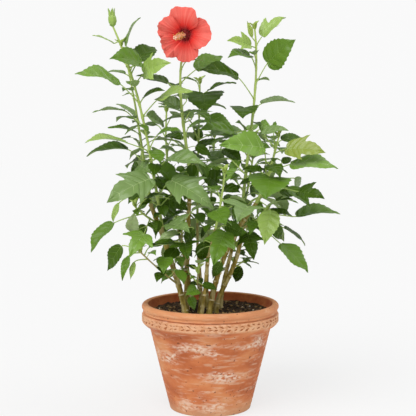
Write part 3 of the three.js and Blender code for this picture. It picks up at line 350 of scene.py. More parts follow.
LEAF_FORMS = {
    "plain": (0.56, [(0, 0), (0.0, 0.09), (0.09, 0.2), (0.28, 0.28), (0.5, 0.26), (0.72, 0.16),
                     (0.88, 0.06), (1, 0)]),
    "narrow": (0.3, [(0, 0), (0.03, 0.05), (0.18, 0.12), (0.42, 0.15), (0.66, 0.11), (0.86, 0.04),
                     (1, 0)]),
    "broad": (0.76, [(0, 0), (-0.02, 0.13), (0.06, 0.28), (0.25, 0.37), (0.48, 0.345), (0.69, 0.23),
                     (0.86, 0.09), (1, 0)]),
    "heart": (1.06, [(0, 0), (-0.1, 0.1), (-0.17, 0.26), (-0.12, 0.42), (0.06, 0.52), (0.3, 0.53),
                     (0.55, 0.42), (0.8, 0.19), (1, 0)]),
    "lobed": (0.76, [(0, 0), (-0.03, 0.1), (0.03, 0.2), (0.16, 0.26), (0.32, 0.31), (0.5, 0.4),
                     (0.46, 0.29), (0.44, 0.2), (0.56, 0.2), (0.7, 0.165), (0.86, 0.08), (1, 0)]),
    "spread": (1.1, [(0, 0), (-0.06, 0.12), (0.0, 0.26), (0.12, 0.37), (0.28, 0.46), (0.46, 0.56),
                     (0.4, 0.4), (0.37, 0.25), (0.5, 0.24), (0.66, 0.2), (0.84, 0.1), (1, 0)]),
}


# Curves, directions and random numbers

RANDOM_FACTOR = 1664525
RANDOM_STEP = 1013904223
RANDOM_RANGE = 2 ** 32
LENGTH_STEPS = 21
HALVINGS = 30


def seeded_random(seed):
    """Random numbers as the source draws them: each call gives the next, from 0 up to 1."""
    state = seed

    def draw():
        nonlocal state
        state = (state * RANDOM_FACTOR + RANDOM_STEP) % RANDOM_RANGE
        return state / RANDOM_RANGE

    return draw


def unit(vector):
    return vector / np.linalg.norm(vector)


def direction(heading, rise):
    h, r = math.radians(heading), math.radians(rise)
    return np.array([math.cos(h) * math.cos(r), math.sin(h) * math.cos(r), math.sin(r)])


class Limb:
    """A cubic curve by four places, with a radius that changes evenly from foot to tip."""

    def __init__(self, places, ends):
        self.places = np.array(places, float)
        self.ends = ends

    def point(self, t):
        a, b, c, d = self.places
        s = 1 - t
        return s ** 3 * a + 3 * s * s * t * b + 3 * s * t * t * c + t ** 3 * d

    def points(self, shares):
        return np.array([self.point(t) for t in shares])

    def tangent(self, t):
        a, b, c, d = self.places
        s = 1 - t
        return unit(s * s * (b - a) + 2 * s * t * (c - b) + t * t * (d - c))

    def radius(self, t):
        return self.ends[0] + (self.ends[1] - self.ends[0]) * t

    def length(self):
        steps = np.diff(self.points(np.linspace(0, 1, LENGTH_STEPS)), axis=0)
        return np.linalg.norm(steps, axis=1).sum()

    def point_at_height(self, height):
        low, high = 0.0, 1.0
        for _ in range(HALVINGS):
            middle = (low + high) / 2
            if self.point(middle)[2] < height:
                low = middle
            else:
                high = middle
        return self.point((low + high) / 2)


# Blades: each bends over from base to tip and folds up from its midrib.


def make_blade(base, forward, face, bend, fold, length, **more):
    """A blade by its base and the ways it grows and faces; its bend and fold are in radians."""
    given = {"root": base, "side": np.cross(face, forward), **more}
    return SimpleNamespace(base=base, forward=forward, face=face, bend=bend, fold=fold,
                           length=length, **given)


def blade_places(leaf, along, across, lift):
    """Places on a blade: shares along it, and millimetres across it and above it."""
    turn = leaf.bend * along
    radius = leaf.length / leaf.bend
    normal = np.outer(np.cos(turn), leaf.face) + np.outer(np.sin(turn), leaf.forward)
    return (
        leaf.base
        + np.outer(radius * np.sin(turn), leaf.forward)
        + np.outer(radius * (np.cos(turn) - 1), leaf.face)
        + np.outer(across * math.cos(leaf.fold), leaf.side)
        + normal * (np.abs(across) * math.sin(leaf.fold) + lift)[:, None]
    )


def make_leaf(root, spec):
    """A leaf on its stalk. It leans to the front, or outwards where its spec says so."""
    base = root + direction(spec["to"], spec["rise"]) * spec["stalk"]
    chord = direction(spec["to"] + spec["swing"], spec["pitch"])
    light = direction(spec["to"], 0) if spec.get("outward") else FRONT
    tilt = math.radians(spec["tilt"])
    face = UP * math.cos(tilt) + light * math.sin(tilt)
    face = unit(face - chord * (face @ chord))
    half = math.radians(BLADE_BEND) / 2
    return make_blade(
        base, chord * math.cos(half) + face * math.sin(half),
        face * math.cos(half) - chord * math.sin(half),
        math.radians(BLADE_BEND), math.radians(BLADE_FOLD), spec["blade"],
        root=root, side=np.cross(face, chord), form=spec["form"], tone=spec.get("tone"),
    )


# Room in the crown: every limb and leaf is kept as balls. A new leaf that would touch another
# one's balls is turned aside or left out, and so is a twig, but without a turn.

STALK_SHARES = np.array([0.15, 0.4, 0.68, 0.95])
BLADE_SHARES = [0.15, 0.32, 0.49, 0.66, 0.83, 0.98]
BLADE_ACROSS = [-0.85, -0.4, 0, 0.4, 0.85]
BLADE_BALL = 0.062
FINE_BALL = 0.045
STALK_BALL = 2.6
BLOOM_BALL = 12
BUD_CLEARANCE = 2.0
LIMB_CLEARANCE = 2.5
STEM_BALLS = 24
SHOOT_BALLS = 40
TWIG_BALLS = 15
TWIG_ROOT_BALLS = 3
BLOOM_RINGS = [(0, 1), (20, 6), (38, 9), (54, 12)]
BUD_SHARES = [0.3, 0.8, 1.3]

along_shares = np.repeat(BLADE_SHARES, len(BLADE_ACROSS))
across_shares = np.tile(BLADE_ACROSS, len(BLADE_SHARES))
width_shares = np.sin(np.pi * np.minimum(along_shares, 0.96) ** 0.62) * across_shares


class Room:
    def __init__(self):
        self.owners, self.places, self.radii, self.centres, self.reaches = [], [], [], [], []

    def take(self, owner, places, radii):
        centre = places.mean(axis=0)
        self.owners.append(owner)
        self.places.append(places)
        self.radii.append(radii)
        self.centres.append(centre)
        self.reaches.append((np.linalg.norm(places - centre, axis=1) + radii).max())

    def is_free(self, places, radii, owner):
        """Whether nothing is in the way. The first balls aren't held against the limb that they
        spring from, nor the very first against a leaf."""
        gaps = np.linalg.norm(places[:, None] - np.array(self.centres)[None], axis=2)
        near = gaps <= np.array(self.reaches)[None] + radii[:, None]
        for group in np.nonzero(near.any(axis=0))[0]:
            tested = near[:, group].copy()
            if self.owners[group] == owner:
                tested[:len(STALK_SHARES)] = False
            if self.owners[group] == "leaf":
                tested[0] = False
            steps = places[tested][:, None] - self.places[group][None]
            apart = radii[tested][:, None] + self.radii[group][None]
            if (np.linalg.norm(steps, axis=2) <= apart).any():
                return False
        return True


room = Room()


def leaf_balls(leaf, share):
    half = leaf.length * LEAF_FORMS[leaf.form][0] / 2
    stalk = leaf.root + np.outer(STALK_SHARES, leaf.base - leaf.root)
    blade = blade_places(leaf, along_shares, half * width_shares, np.zeros(len(along_shares)))
    radii = [STALK_BALL] * len(stalk) + [leaf.length * share] * len(blade)
    return np.vstack([stalk, blade]), np.array(radii)


def limb_balls(limb, count):
    shares = [i / count for i in range(count + 1)]
    return limb.points(shares), limb.radius(np.array(shares)) + LIMB_CLEARANCE


def ring_place(centre, axis, angle, radius):
    across = unit(UP - axis * (UP @ axis))
    side = np.cross(across, axis)
    return centre + side * math.cos(angle) * radius + across * math.sin(angle) * radius


def take_bloom_and_bud():
    places = [
        ring_place(throat, facing, 2 * math.pi * i / count, radius)
        for radius, count in BLOOM_RINGS for i in range(count)
    ]
    room.take("bloom", np.array(places), np.full(len(places), float(BLOOM_BALL)))
    top = np.array(MASSES[BUD["on"]]["shoot"][2], float)
    places = [top + UP * share * BUD["length"] for share in BUD_SHARES]
    room.take("bud", np.array(places), np.full(len(places), BUD["radius"] + BUD_CLEARANCE))


# Growth by the source's rule: nodes follow each other up the shoot by the golden angle, and the
# blades' length runs from the foot's to the tip's. A habit gives a rise and a pitch as the value
# at the foot, the change up to the tip and the spread; a stalk (share of the blade) and a tilt as
# the least value and the spread; the swing's spread; and the share of leaves of another form. A
# twig's leaves are each a share of its length and a turn from its heading.

SEEN_TURNS = [0, 7, -7, 14, -14, 21, -21]
RULE_TURNS = [0, 22, -22, 44, -44, 70, -70]
RULE_HABIT = {
    "rise": (12, 38, 14), "stalk": (0.42, 0.2), "pitch": (-28, 36, 22), "swing": 40,
    "tilt": (12, 26), "form": ("lobed", 0.28),
}
HEADING_SPREAD = 24
SIZE_SPREAD = (0.85, 0.3)
TWIG_EVERY = 3
TWIG_HIGHEST = 0.8
TWIG_LENGTH = (0.75, 0.3)
TWIG_LIFT = 12
TWIG_SAG = 0.08
TWIG_LEAVES = [(0.62, 45), (0.985, -45)]
TWIG_LEAF_SIZE = (0.72, 0.14)
TWIG_LEAF_STALK = 0.6
TWIG_LEAF_TURN = 20
TWIG_LEAF_RISE = 10
TWIG_RADIUS = [2.1, 1.3]


def place_leaf(mass, owner, root, spec, turns, fine=False):
    """Adds the leaf at the first turn at which nothing is in its way, if there is one."""
    for turn in turns:
        leaf = make_leaf(root, {**spec, "to": spec["to"] + turn})
        places, radii = leaf_balls(leaf, FINE_BALL if fine else BLADE_BALL)
        high_enough = not fine or places[:, 2].min() > FINE_LOWEST
        if high_enough and room.is_free(places, radii, owner):
            room.take("leaf", places, radii)
            (mass.fine if fine else mass.leaves).append(leaf)
            return


def leaf_spec(habit, share, heading, blade, draw):
    """A leaf's spec by a habit, at a share of the way up the shoot."""

    def rising(low, change, spread, middle):
        return low + change * share + spread * (draw() - middle)

    rise = rising(*habit["rise"], 0)
    stalk = blade * (habit["stalk"][0] + habit["stalk"][1] * draw())
    pitch = rising(*habit["pitch"], 0.5)
    swing = habit["swing"] * (draw() - 0.5)
    tilt = habit["tilt"][0] + habit["tilt"][1] * draw()
    form, chance = habit["form"]
    return {
        "to": heading, "rise": rise, "stalk": stalk, "swing": swing, "blade": blade,
        "pitch": pitch, "tilt": tilt, "form": form if draw() < chance else "plain",
    }


def add_twig(mass, name, root, spec, lift, length, sag, radii, ease=0):
    """A twig from a node, unless something is in its way; ease is how much closer it may come."""
    end = root + direction(spec["to"], spec["rise"] + lift) * length
    bent = (root + end) / 2 - UP * sag
    limb = Limb([root, bent, bent, end], radii)
    places, sizes = limb_balls(limb, TWIG_BALLS)
    places, sizes = places[TWIG_ROOT_BALLS:], sizes[TWIG_ROOT_BALLS:] - ease
    if not room.is_free(places, sizes, mass.name):
        return None
    mass.twigs.append(limb)
    room.take(name, places, sizes)
    return limb


def grow_by_rule(mass, rule, draw):
    start, end, every, turned, first, last = rule
    count = int((end - start) // every) + 1
    for i in range(count):
        share = i / (count - 1) if count > 1 else 1
        node = mass.limb.point_at_height(start + i * every)
        heading = turned + i * GOLDEN_ANGLE + HEADING_SPREAD * (draw() - 0.5)
        blade = (first + (last - first) * share) * (SIZE_SPREAD[0] + SIZE_SPREAD[1] * draw())
        spec = {**leaf_spec(RULE_HABIT, share, heading, blade, draw), "outward": True}
        if i % TWIG_EVERY == 1 and share < TWIG_HIGHEST:
            grow_twig(mass, node, spec, draw)
        else:
            place_leaf(mass, mass.name, node, spec, RULE_TURNS)


def grow_twig(mass, node, spec, draw):
    length = spec["blade"] * (TWIG_LENGTH[0] + TWIG_LENGTH[1] * draw())
    name = f"{mass.name}_twig_{len(mass.twigs)}"
    draws = [(draw(), draw(), draw()) for _ in TWIG_LEAVES]
    limb = add_twig(mass, name, node, spec, TWIG_LIFT, length, TWIG_SAG * length, TWIG_RADIUS)
    if limb is None:
        return
    for (at, turn), (first, second, third) in zip(TWIG_LEAVES, draws):
        place_leaf(mass, name, limb.point(at), {
            **spec,
            "to": spec["to"] + turn + TWIG_LEAF_TURN * (first - 0.5),
            "blade": spec["blade"] * (TWIG_LEAF_SIZE[0] + TWIG_LEAF_SIZE[1] * second),
            "stalk": spec["stalk"] * TWIG_LEAF_STALK,
            "rise": spec["rise"] + TWIG_LEAF_RISE * (third - 0.5),
        }, RULE_TURNS)


# Finer growth that the solids leave out: small leaves between the nodes, on short twigs of their
# own or straight from the shoot, wherever there is room. They thin out between two heights.

FINE_SPACING = 15
FINE_FROM = 0.06
FINE_SPAN = 0.9
FINE_FULL = 480
FINE_NONE = 680
FINE_LOWEST = 282
FINE_TURNS = [0, 35, -35, 70, -70, 110, -110, 150, -150, 180]
FINE_TWIG_TURNS = FINE_TURNS[:6]
FINE_HABIT = {
    "rise": (-10, 40, 30), "stalk": (0.3, 0.5), "pitch": (-45, 50, 36), "swing": 60,
    "tilt": (15, 40), "form": ("broad", 0.4),
}
FINE_FIRST = 40
FINE_HEADING_SPREAD = 40
FINE_BLADE = (42, 18)
FINE_SIZE_SPREAD = (0.7, 0.55)
FINE_OUTWARD = 0.6
# The dark tone's chance on a fine leaf at the foot, and its drop to the tip: painted shade inside
# the crown.
FINE_DARK_SHADE = (0.75, 0.3)
FINE_TWIG_EVERY = 4
FINE_TWIG_LENGTH = 0.7
FINE_TWIG_LIFT = 20
FINE_TWIG_SAG = 0.06
FINE_TWIG_LEAVES = [(0.5, -120), (0.8, 0), (1.0, 120)]
FINE_TWIG_LEAF_SIZE = 0.8
FINE_TWIG_LEAF_STALK = 0.3
FINE_TWIG_EASE = 1
FINE_TWIG_RADIUS = [1.3, 0.8]
FINE_SEED = 100


def grow_finer(mass, draw):
    count = int(mass.limb.length() // FINE_SPACING)
    for i in range(1, count + 1):
        share = i / count
        node = mass.limb.point(FINE_FROM + FINE_SPAN * share)
        if draw() < (node[2] - FINE_FULL) / (FINE_NONE - FINE_FULL):
            continue
        blade = FINE_BLADE[0] - FINE_BLADE[1] * share
        blade *= FINE_SIZE_SPREAD[0] + FINE_SIZE_SPREAD[1] * draw()
        heading = FINE_FIRST + i * GOLDEN_ANGLE + FINE_HEADING_SPREAD * (draw() - 0.5)
        outward = draw() < FINE_OUTWARD
        spec = {**leaf_spec(FINE_HABIT, share, heading, blade, draw), "outward": outward}
        # Painted shade: fine leaves inside the crown mostly take the dark tone, more often low
        # down.
        spec["tone"] = "dark" if draw() < FINE_DARK_SHADE[0] - FINE_DARK_SHADE[1] * share else "mid"
        if i % FINE_TWIG_EVERY != 2:
            place_leaf(mass, mass.name, node, spec, FINE_TURNS, fine=True)
            continue
        name = f"{mass.name}_fine_{i}"
        limb = add_twig(mass, name, node, spec, FINE_TWIG_LIFT, FINE_TWIG_LENGTH * blade,
                        FINE_TWIG_SAG * blade, FINE_TWIG_RADIUS, FINE_TWIG_EASE)
        if limb is None:
            continue
        for at, turn in FINE_TWIG_LEAVES:
            place_leaf(mass, name, limb.point(at), {
                **spec,
                "to": spec["to"] + turn,
                "blade": blade * FINE_TWIG_LEAF_SIZE,
                "stalk": blade * FINE_TWIG_LEAF_STALK,
            }, FINE_TWIG_TURNS, fine=True)


# The order of growth: stems first, so that every leaf keeps clear of them, and the bloom and the
# bud; then the shoots; then, mass by mass, the leaves that show best; last the leaves by the
# rule and the finer ones.

facing = unit(np.array(BLOOM["facing"]))
throat = np.array(BLOOM["throat"], float)
calyx_foot = throat - facing * (BLOOM["calyx_length"] + BLOOM["cup_length"])
calyx_mouth = calyx_foot + facing * BLOOM["calyx_length"]

stems = {}
for name, ((x, y), *places, radii) in STEMS.items():
    stems[name] = Limb([(x, y, SOIL_LEVEL + GAP), *places], radii)
    room.take(name, *limb_balls(stems[name], STEM_BALLS))
take_bloom_and_bud()

masses = {}
for name, plan in MASSES.items():
    root = stems[plan["on"]].point(plan["at"])
    limb = Limb([root, *plan["shoot"]], plan["radius"])
    masses[name] = SimpleNamespace(name=name, limb=limb, plan=plan, leaves=[], twigs=[], fine=[])
    room.take(name, *limb_balls(limb, SHOOT_BALLS))
for name, mass in masses.items():
    for row in mass.plan["seen"]:
        spec = {"form": "plain", **dict(zip(SEEN, row))}
        place_leaf(mass, name, mass.limb.point_at_height(spec["z"]), spec, SEEN_TURNS)
for mass in masses.values():
    grow_by_rule(mass, mass.plan["rule"], seeded_random(mass.plan["seed"]))
for mass in masses.values():
    grow_finer(mass, seeded_random(mass.plan["seed"] + FINE_SEED))


# Meshes


def linear(code):
    """A hex colour as Blender's linear one."""
    parts = [int(code[i:i + 2], 16) / 255 for i in (1, 3, 5)]
    return [c / 12.92 if c <= 0.04045 else ((c + 0.055) / 1.055) ** 2.4 for c in parts] + [1]


def add_object(name, data):
    made = bpy.data.objects.new(name, data)
    bpy.context.scene.collection.objects.link(made)
    return made


class Piece:
    """A mesh that grows by lists of places (millimetres) and faces, each with a material."""

    def __init__(self, name, materials):
        self.name, self.materials = name, materials
        self.places, self.faces, self.slots, self.count = [], [], [], 0

    def add(self, places, *parts):
        """Adds places and the faces between them, in parts that are each (faces, material)."""
        for faces, material in parts:
            self.faces += [[self.count + i for i in face] for face in faces]
            self.slots += [self.materials.index(material)] * len(faces)
        self.places.append(np.asarray(places, float))
        self.count += len(places)

    def repaint(self, faces, material):
        """Gives another material to single faces, by their numbers in the piece."""
        for face in faces:
            self.slots[face] = self.materials.index(material)

    def finish(self, slot, nodes, sharp=50):
        mesh = bpy.data.meshes.new(self.name)
        mesh.from_pydata((np.vstack(self.places) * MM).tolist(), [], self.faces)
        mesh.polygons.foreach_set("material_index", self.slots)
        mesh.polygons.foreach_set("use_smooth", [True] * len(self.faces))
        for material in self.materials:
            mesh.materials.append(materials[material])
        mesh.update()
        mesh.set_sharp_from_angle(angle=math.radians(sharp))
        piece = add_object(self.name, mesh)
        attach(piece, "root")
        if nodes:
            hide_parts(*nodes)


def round_angles(count):
    return 2 * np.pi * np.arange(count) / count


def runs_along(centres):
    """Unit vectors along a path."""
    runs = np.gradient(centres, axis=0)
    return runs / np.linalg.norm(runs, axis=1)[:, None]


def tube_rings(centres, radii, sides):
    """Rings of places along a path; radii is one number a ring, or one for each side of it."""
    centres = np.asarray(centres, float)
    runs = runs_along(centres)
    side = UP if abs(runs[0][2]) < 0.9 else np.array([1.0, 0, 0])
    angles = round_angles(sides)
    rings = []
    for centre, run, radius in zip(centres, runs, radii):
        side = unit(side - run * (side @ run))
        across = np.cross(run, side)
        spokes = np.outer(np.cos(angles), side) + np.outer(np.sin(angles), across)
        rings.append(centre + spokes * np.broadcast_to(radius, sides)[:, None])
    return np.array(rings)


def level_ring(angles, radii, height):
    """A ring of places round the pot's axis."""
    height = np.broadcast_to(height, len(angles))
    return np.column_stack([radii * np.cos(angles), radii * np.sin(angles), height])


def ring_faces(rings, sides):
    """Faces of a tube of rings that run round its axis, and last its foot's and its top's."""
    faces = []
    for i in range(rings - 1):
        for k in range(sides):
            a, b = i * sides + k, i * sides + (k + 1) % sides
            faces.append([a, b, b + sides, a + sides])
    last = (rings - 1) * sides
    faces.append(list(range(sides - 1, -1, -1)))
    faces.append(list(range(last, last + sides)))
    return faces


def add_rings(piece, rings, material):
    count, sides = rings.shape[:2]
    piece.add(rings.reshape(-1, 3), (ring_faces(count, sides), material))


def add_tube(piece, centres, radii, sides, material):
    add_rings(piece, tube_rings(centres, radii, sides), material)


def add_limb(piece, limb, count, sides, material, radii=None):
    """A tube along a limb, by its own radii or by those given."""
    shares = np.linspace(0, 1, count)
    radii = limb.radius(shares) if radii is None else radii
    add_tube(piece, limb.points(shares), radii, sides, material)


def grid_faces(grid):
    """Faces between neighbours in a grid of numbers of places."""
    corners = [grid[:-1, :-1], grid[1:, :-1], grid[1:, 1:], grid[:-1, 1:]]
    return np.stack(corners, axis=-1).reshape(-1, 4).tolist()


def turned_over(faces):
    return [face[::-1] for face in faces]


def smooth_outline(points, count):
    """A Catmull-Rom curve by the points, at count + 1 places spaced evenly along it."""
    points = np.array(points, float)
    ends = np.vstack([2 * points[0] - points[1], points, 2 * points[-1] - points[-2]])
    dense = []
    for i in range(len(points) - 1):
        a, b, c, d = ends[i:i + 4]
        for t in np.linspace(0, 1, 12, endpoint=False):
            dense.append(0.5 * (2 * b + (c - a) * t + (2 * a - 5 * b + 4 * c - d) * t * t
                                + (3 * b - a - 3 * c + d) * t ** 3))
    dense = np.array(dense + [points[-1]])
    run = np.concatenate([[0], np.cumsum(np.linalg.norm(np.diff(dense, axis=0), axis=1))])
    at = np.linspace(0, run[-1], count + 1)
    return np.column_stack([np.interp(at, run, dense[:, k]) for k in range(2)])


# A leaf's grid. Each row is a side vein's line, from the midrib outwards and forwards to the
# margin, so the quilting between veins and the teeth of the margin follow the rows. The detail
# of a leaf is its teeth a side, its columns a side and its side veins.

ROWS_PER_TOOTH = 4
TOOTH = [0.0, 0.55, 1.0, 0.35]
TOOTH_DEPTH = 0.085
VEIN_SLANT = 0.8
LEAST_ROW = 0.003
SHEET_THICKNESS = 0.7
LEAF_DETAIL = {"full": (11, 4, 5), "fine": (6, 2, 0)}


def leaf_grid(form, teeth, columns):
    """Half a leaf flat: along and across (shares of the length) by row and column."""
    rows = teeth * ROWS_PER_TOOTH
    margin = smooth_outline(LEAF_FORMS[form][1], rows)
    starts = np.clip(margin[:, 0] - VEIN_SLANT * margin[:, 1], 0, 1)
    starts = np.maximum.accumulate(starts + LEAST_ROW * np.arange(rows + 1))
    starts *= 1 / starts[-1]
    middle = np.column_stack([starts, np.zeros(rows + 1)])
    steps = np.linspace(0, 1, rows + 1)
    depth = TOOTH_DEPTH * np.clip(steps * 6 - 1, 0, 1) * np.clip((1 - steps) * 8, 0, 1)
    teeth_out = depth * np.array([TOOTH[i % ROWS_PER_TOOTH] for i in range(rows + 1)])
    margin = middle + (margin - middle) * (1 + teeth_out)[:, None]
    shares = np.linspace(0, 1, columns + 1)[None, :, None] ** 0.85
    return middle[:, None] + (margin - middle)[:, None] * shares


grids = {
    (form, detail): leaf_grid(form, teeth, columns)
    for form in LEAF_FORMS for detail, (teeth, columns, _) in LEAF_DETAIL.items()
}


def sheet_mesh(upper, lower):
    """A closed thin body of two grids [row, column, 3] that share their outer columns, and
    whose first and last rows are single places: its places, upper faces and lower faces."""
    rows, columns = upper.shape[:2]
    inner = rows - 2
    top = np.arange(inner * columns).reshape(inner, columns)
    under = top.copy()
    under[:, 1:-1] = inner * columns + np.arange(inner * (columns - 2)).reshape(inner, columns - 2)
    base = inner * columns + inner * (columns - 2)
    tip = base + 1
    places = np.vstack([
        upper[1:-1].reshape(-1, 3), lower[1:-1, 1:-1].reshape(-1, 3),
        upper[0, :1], upper[-1, :1],
    ])

    def faces_of(grid):
        faces = grid_faces(grid)
        for c in range(columns - 1):
            faces.append([base, grid[0, c], grid[0, c + 1]])
            faces.append([tip, grid[-1, c + 1], grid[-1, c]])
        return faces

    return places, faces_of(top), turned_over(faces_of(under))


def add_rib(piece, centres, normals, widths, height, material):
    """A diamond-section rib through a sheet, proud of both its sides."""
    across = np.cross(runs_along(centres), normals)
    rings = np.stack([
        centres + across * widths[:, None], centres + normals * height,
        centres - across * widths[:, None], centres - normals * height,
    ], axis=1)
    add_rings(piece, rings, material)


# Leaves: each has its own ruffle, opening, curl and twist, and is quilted between its veins.

RUFFLE = 0.024
RUFFLE_SPREAD = (0.6, 1.5)
RUFFLE_WAVES = 1.8
OPENING = 8
CURL = 0.11
CURL_START = 0.6
TWIST = 0.16
QUILT = 0.025
VEIN_WIDTH = 0.0105
MIDRIB_TAPER = (1.3, 0.3)
SIDE_VEIN_TAPER = (0.8, 0.3)
MIDRIB_RISE = 0.35
SIDE_VEIN_RISE = 0.25
# The dark tone carries painted shade; its veins, like the mid tone's, are dimmer.
DIM_VEINED = ["dark", "mid"]

looks = np.random.default_rng(31)


def leaf_surface(leaf, grid, veins):
    """The middle of the sheet, [row, column, 3], across the whole leaf."""
    rows, columns = grid.shape[:2]
    waves = looks.uniform(0, 2 * math.pi, 4)
    ruffle = RUFFLE * looks.uniform(*RUFFLE_SPREAD)
    opening = math.tan(math.radians(looks.uniform(-OPENING, OPENING)))
    curl = looks.uniform(0.0, CURL)
    twist = looks.uniform(-TWIST, TWIST)
    steps = np.linspace(0, 1, rows)[:, None]
    shares = np.linspace(0, 1, columns)[None] * np.ones((rows, 1))
    along = grid[..., 0]
    across = grid[..., 1] * leaf.length
    halves = []
    for hand in (-1, 1):
        phase = waves[(hand + 1) // 2]
        wave = np.sin(2 * np.pi * RUFFLE_WAVES * steps + phase)
        lift = opening * across + twist * hand * across * along
        lift = lift + ruffle * leaf.length * shares ** 2 * wave
        bent = (np.clip(along - CURL_START, 0, 1) / (1 - CURL_START)) ** 2
        lift = lift - curl * leaf.length * bent
        if veins:
            between = 0.5 - 0.5 * np.cos(2 * np.pi * steps * (veins + 1))
            lift = lift + QUILT * leaf.length * between ** 0.7 * np.sin(np.pi * shares ** 0.8)
        halves.append(blade_places(leaf, along.ravel(), hand * across.ravel(), lift.ravel()))
    left, right = (half.reshape(rows, columns, 3) for half in halves)
    return np.concatenate([left[:, ::-1], right[:, 1:]], axis=1)


def add_leaf(piece, leaf, detail):
    _, columns, veins = LEAF_DETAIL[detail]
    middle = leaf_surface(leaf, grids[leaf.form, detail], veins)
    rows = len(middle)
    turns = leaf.bend * np.linspace(0, 1, rows)
    normals = np.outer(np.cos(turns), leaf.face) + np.outer(np.sin(turns), leaf.forward)
    half = normals[:, None] * SHEET_THICKNESS / 2
    places, top, under = sheet_mesh(middle + half, middle - half)
    tone = leaf.tone or "mid"
    thin = tone == "young" or leaf.form == "narrow"
    below = f"leaf {tone}" if thin else "leaf underside"
    piece.add(places, (top, f"leaf {tone}"), (under, below))
    vein = "leaf vein dim" if tone in DIM_VEINED else "leaf vein"
    thick = leaf.length * VEIN_WIDTH
    widths = thick * np.linspace(*MIDRIB_TAPER, rows - 1)
    add_rib(piece, middle[:-1:2, columns], normals[:-1:2], widths[::2],
            SHEET_THICKNESS / 2 + MIDRIB_RISE, vein)
    for k in range(1, veins + 1):
        row = round(k * (rows - 1) / (veins + 1))
        for line in (middle[row, columns:-1], middle[row, columns:0:-1]):
            normal = np.repeat(normals[row][None], len(line), axis=0)
            widths = thick * np.linspace(*SIDE_VEIN_TAPER, len(line))
            add_rib(piece, line, normal, widths, SHEET_THICKNESS / 2 + SIDE_VEIN_RISE, vein)


# Shoots: each swells at its nodes and is green above the height where its wood ends, with the
# leaves' stalks, two stipules beside each larger one and young leaflets folded round its tip.

# The dark tone is a deeper green with painted shade in it, for leaves that lie in the crown's
# shade.
TONES = {
    "dark": "#3f5a12", "mid": "#5a7c22", "fresh": "#709434", "light": "#94b054",
    "young": "#a8be58", "grey": "#718c4c", "pale": "#96aa70", "olive": "#86963a",
}
LEAF_MATERIALS = [f"leaf {tone}" for tone in TONES]
LEAF_MATERIALS += ["leaf underside", "leaf vein", "leaf vein dim"]
SHOOT_MATERIALS = ["stalk", "shoot green", "shoot olive"]
SHOOT_SIDES = 10
SHOOT_STEP = 4
SHOOT_LEAST_RINGS = 12
NODE_REACH = 4.5
NODE_NEAR = 6
NODE_SWELL = 0.22
NODE_SWELL_LIMIT = 1.2
WOOD_TOP = 400
STALK_RADIUS = 1.3
FINE_STALK_RADIUS = 0.8
STALK_RINGS = 8
STALK_HANDLE = (8.0, 0.3)
STALK_KNEE = (0.4, 0.05)
STALK_SWELL = 0.25
STALK_TAPER = (1.1, 0.3)
STIPULE_TURNS = (-42, 42)
STIPULE_RISE = 35
STIPULE_LENGTH = 7.0
STIPULE_HALF_WIDTH = 0.9
STIPULE_HALF_THICKNESS = 0.3
TIP_LEAVES = [(20, 70, 26), (150, 62, 22), (270, 74, 20), (80, 84, 14)]
TIP_TURN = 40
TIP_AT = 0.99
TIP_UNDER_BUD = 0.89
# Below this height a rule-grown leaf is deep in the crown, where the dark tone, painted shade, is
# likelier.
DEEP_BELOW = 430
DARK_SHADE_DEEP = 0.7
DARK_SHADE_OUTSIDE = 0.35


def add_stalk(piece, leaf, radius):
    reach = np.linalg.norm(leaf.base - leaf.root)
    run = (leaf.base - leaf.root) / reach
    handle = min(STALK_HANDLE[0], STALK_HANDLE[1] * reach)
    knee = leaf.root + run * STALK_KNEE[0] * reach + UP * STALK_KNEE[1] * reach
    limb = Limb([leaf.root, knee, leaf.base - leaf.forward * handle,
                 leaf.base + leaf.forward * 1.5], [1, 1])
    shares = np.linspace(0, 1, STALK_RINGS)
    swell = 1 + STALK_SWELL * np.abs(2 * shares - 1) ** 6
    taper = STALK_TAPER[0] - STALK_TAPER[1] * shares
    add_limb(piece, limb, STALK_RINGS, 6, "stalk", radius * swell * taper)


def small_blade(root, heading, rise, length, bend, fold, **more):
    """A stalkless blade that stands at a node or on a tip."""
    face = unit(direction(heading, rise - 90) * -1)
    return make_blade(root, direction(heading, rise), face, math.radians(bend),
                      math.radians(fold), length, **more)


def add_stipules(piece, leaf):
    """Two slim points beside a stalk's root, each of six places."""
    to = math.degrees(math.atan2(*(leaf.base - leaf.root)[1::-1]))
    along = np.array([0.0, 0.5, 0.5, 0.5, 0.5, 1.0])
    across = STIPULE_HALF_WIDTH * np.array([0, -1, 0, 1, 0, 0])
    lift = STIPULE_HALF_THICKNESS * np.array([0, 0, 1, 0, -1, 0])
    upper = [[0, 1, 2], [0, 2, 3], [5, 2, 1], [5, 3, 2]]
    lower = [[0, 4, 1], [0, 3, 4], [5, 1, 4], [5, 4, 3]]
    for turn in STIPULE_TURNS:
        blade = small_blade(leaf.root, to + turn, STIPULE_RISE, STIPULE_LENGTH, 20, 25)
        piece.add(blade_places(blade, along, across, lift), (upper + lower, "stalk"))


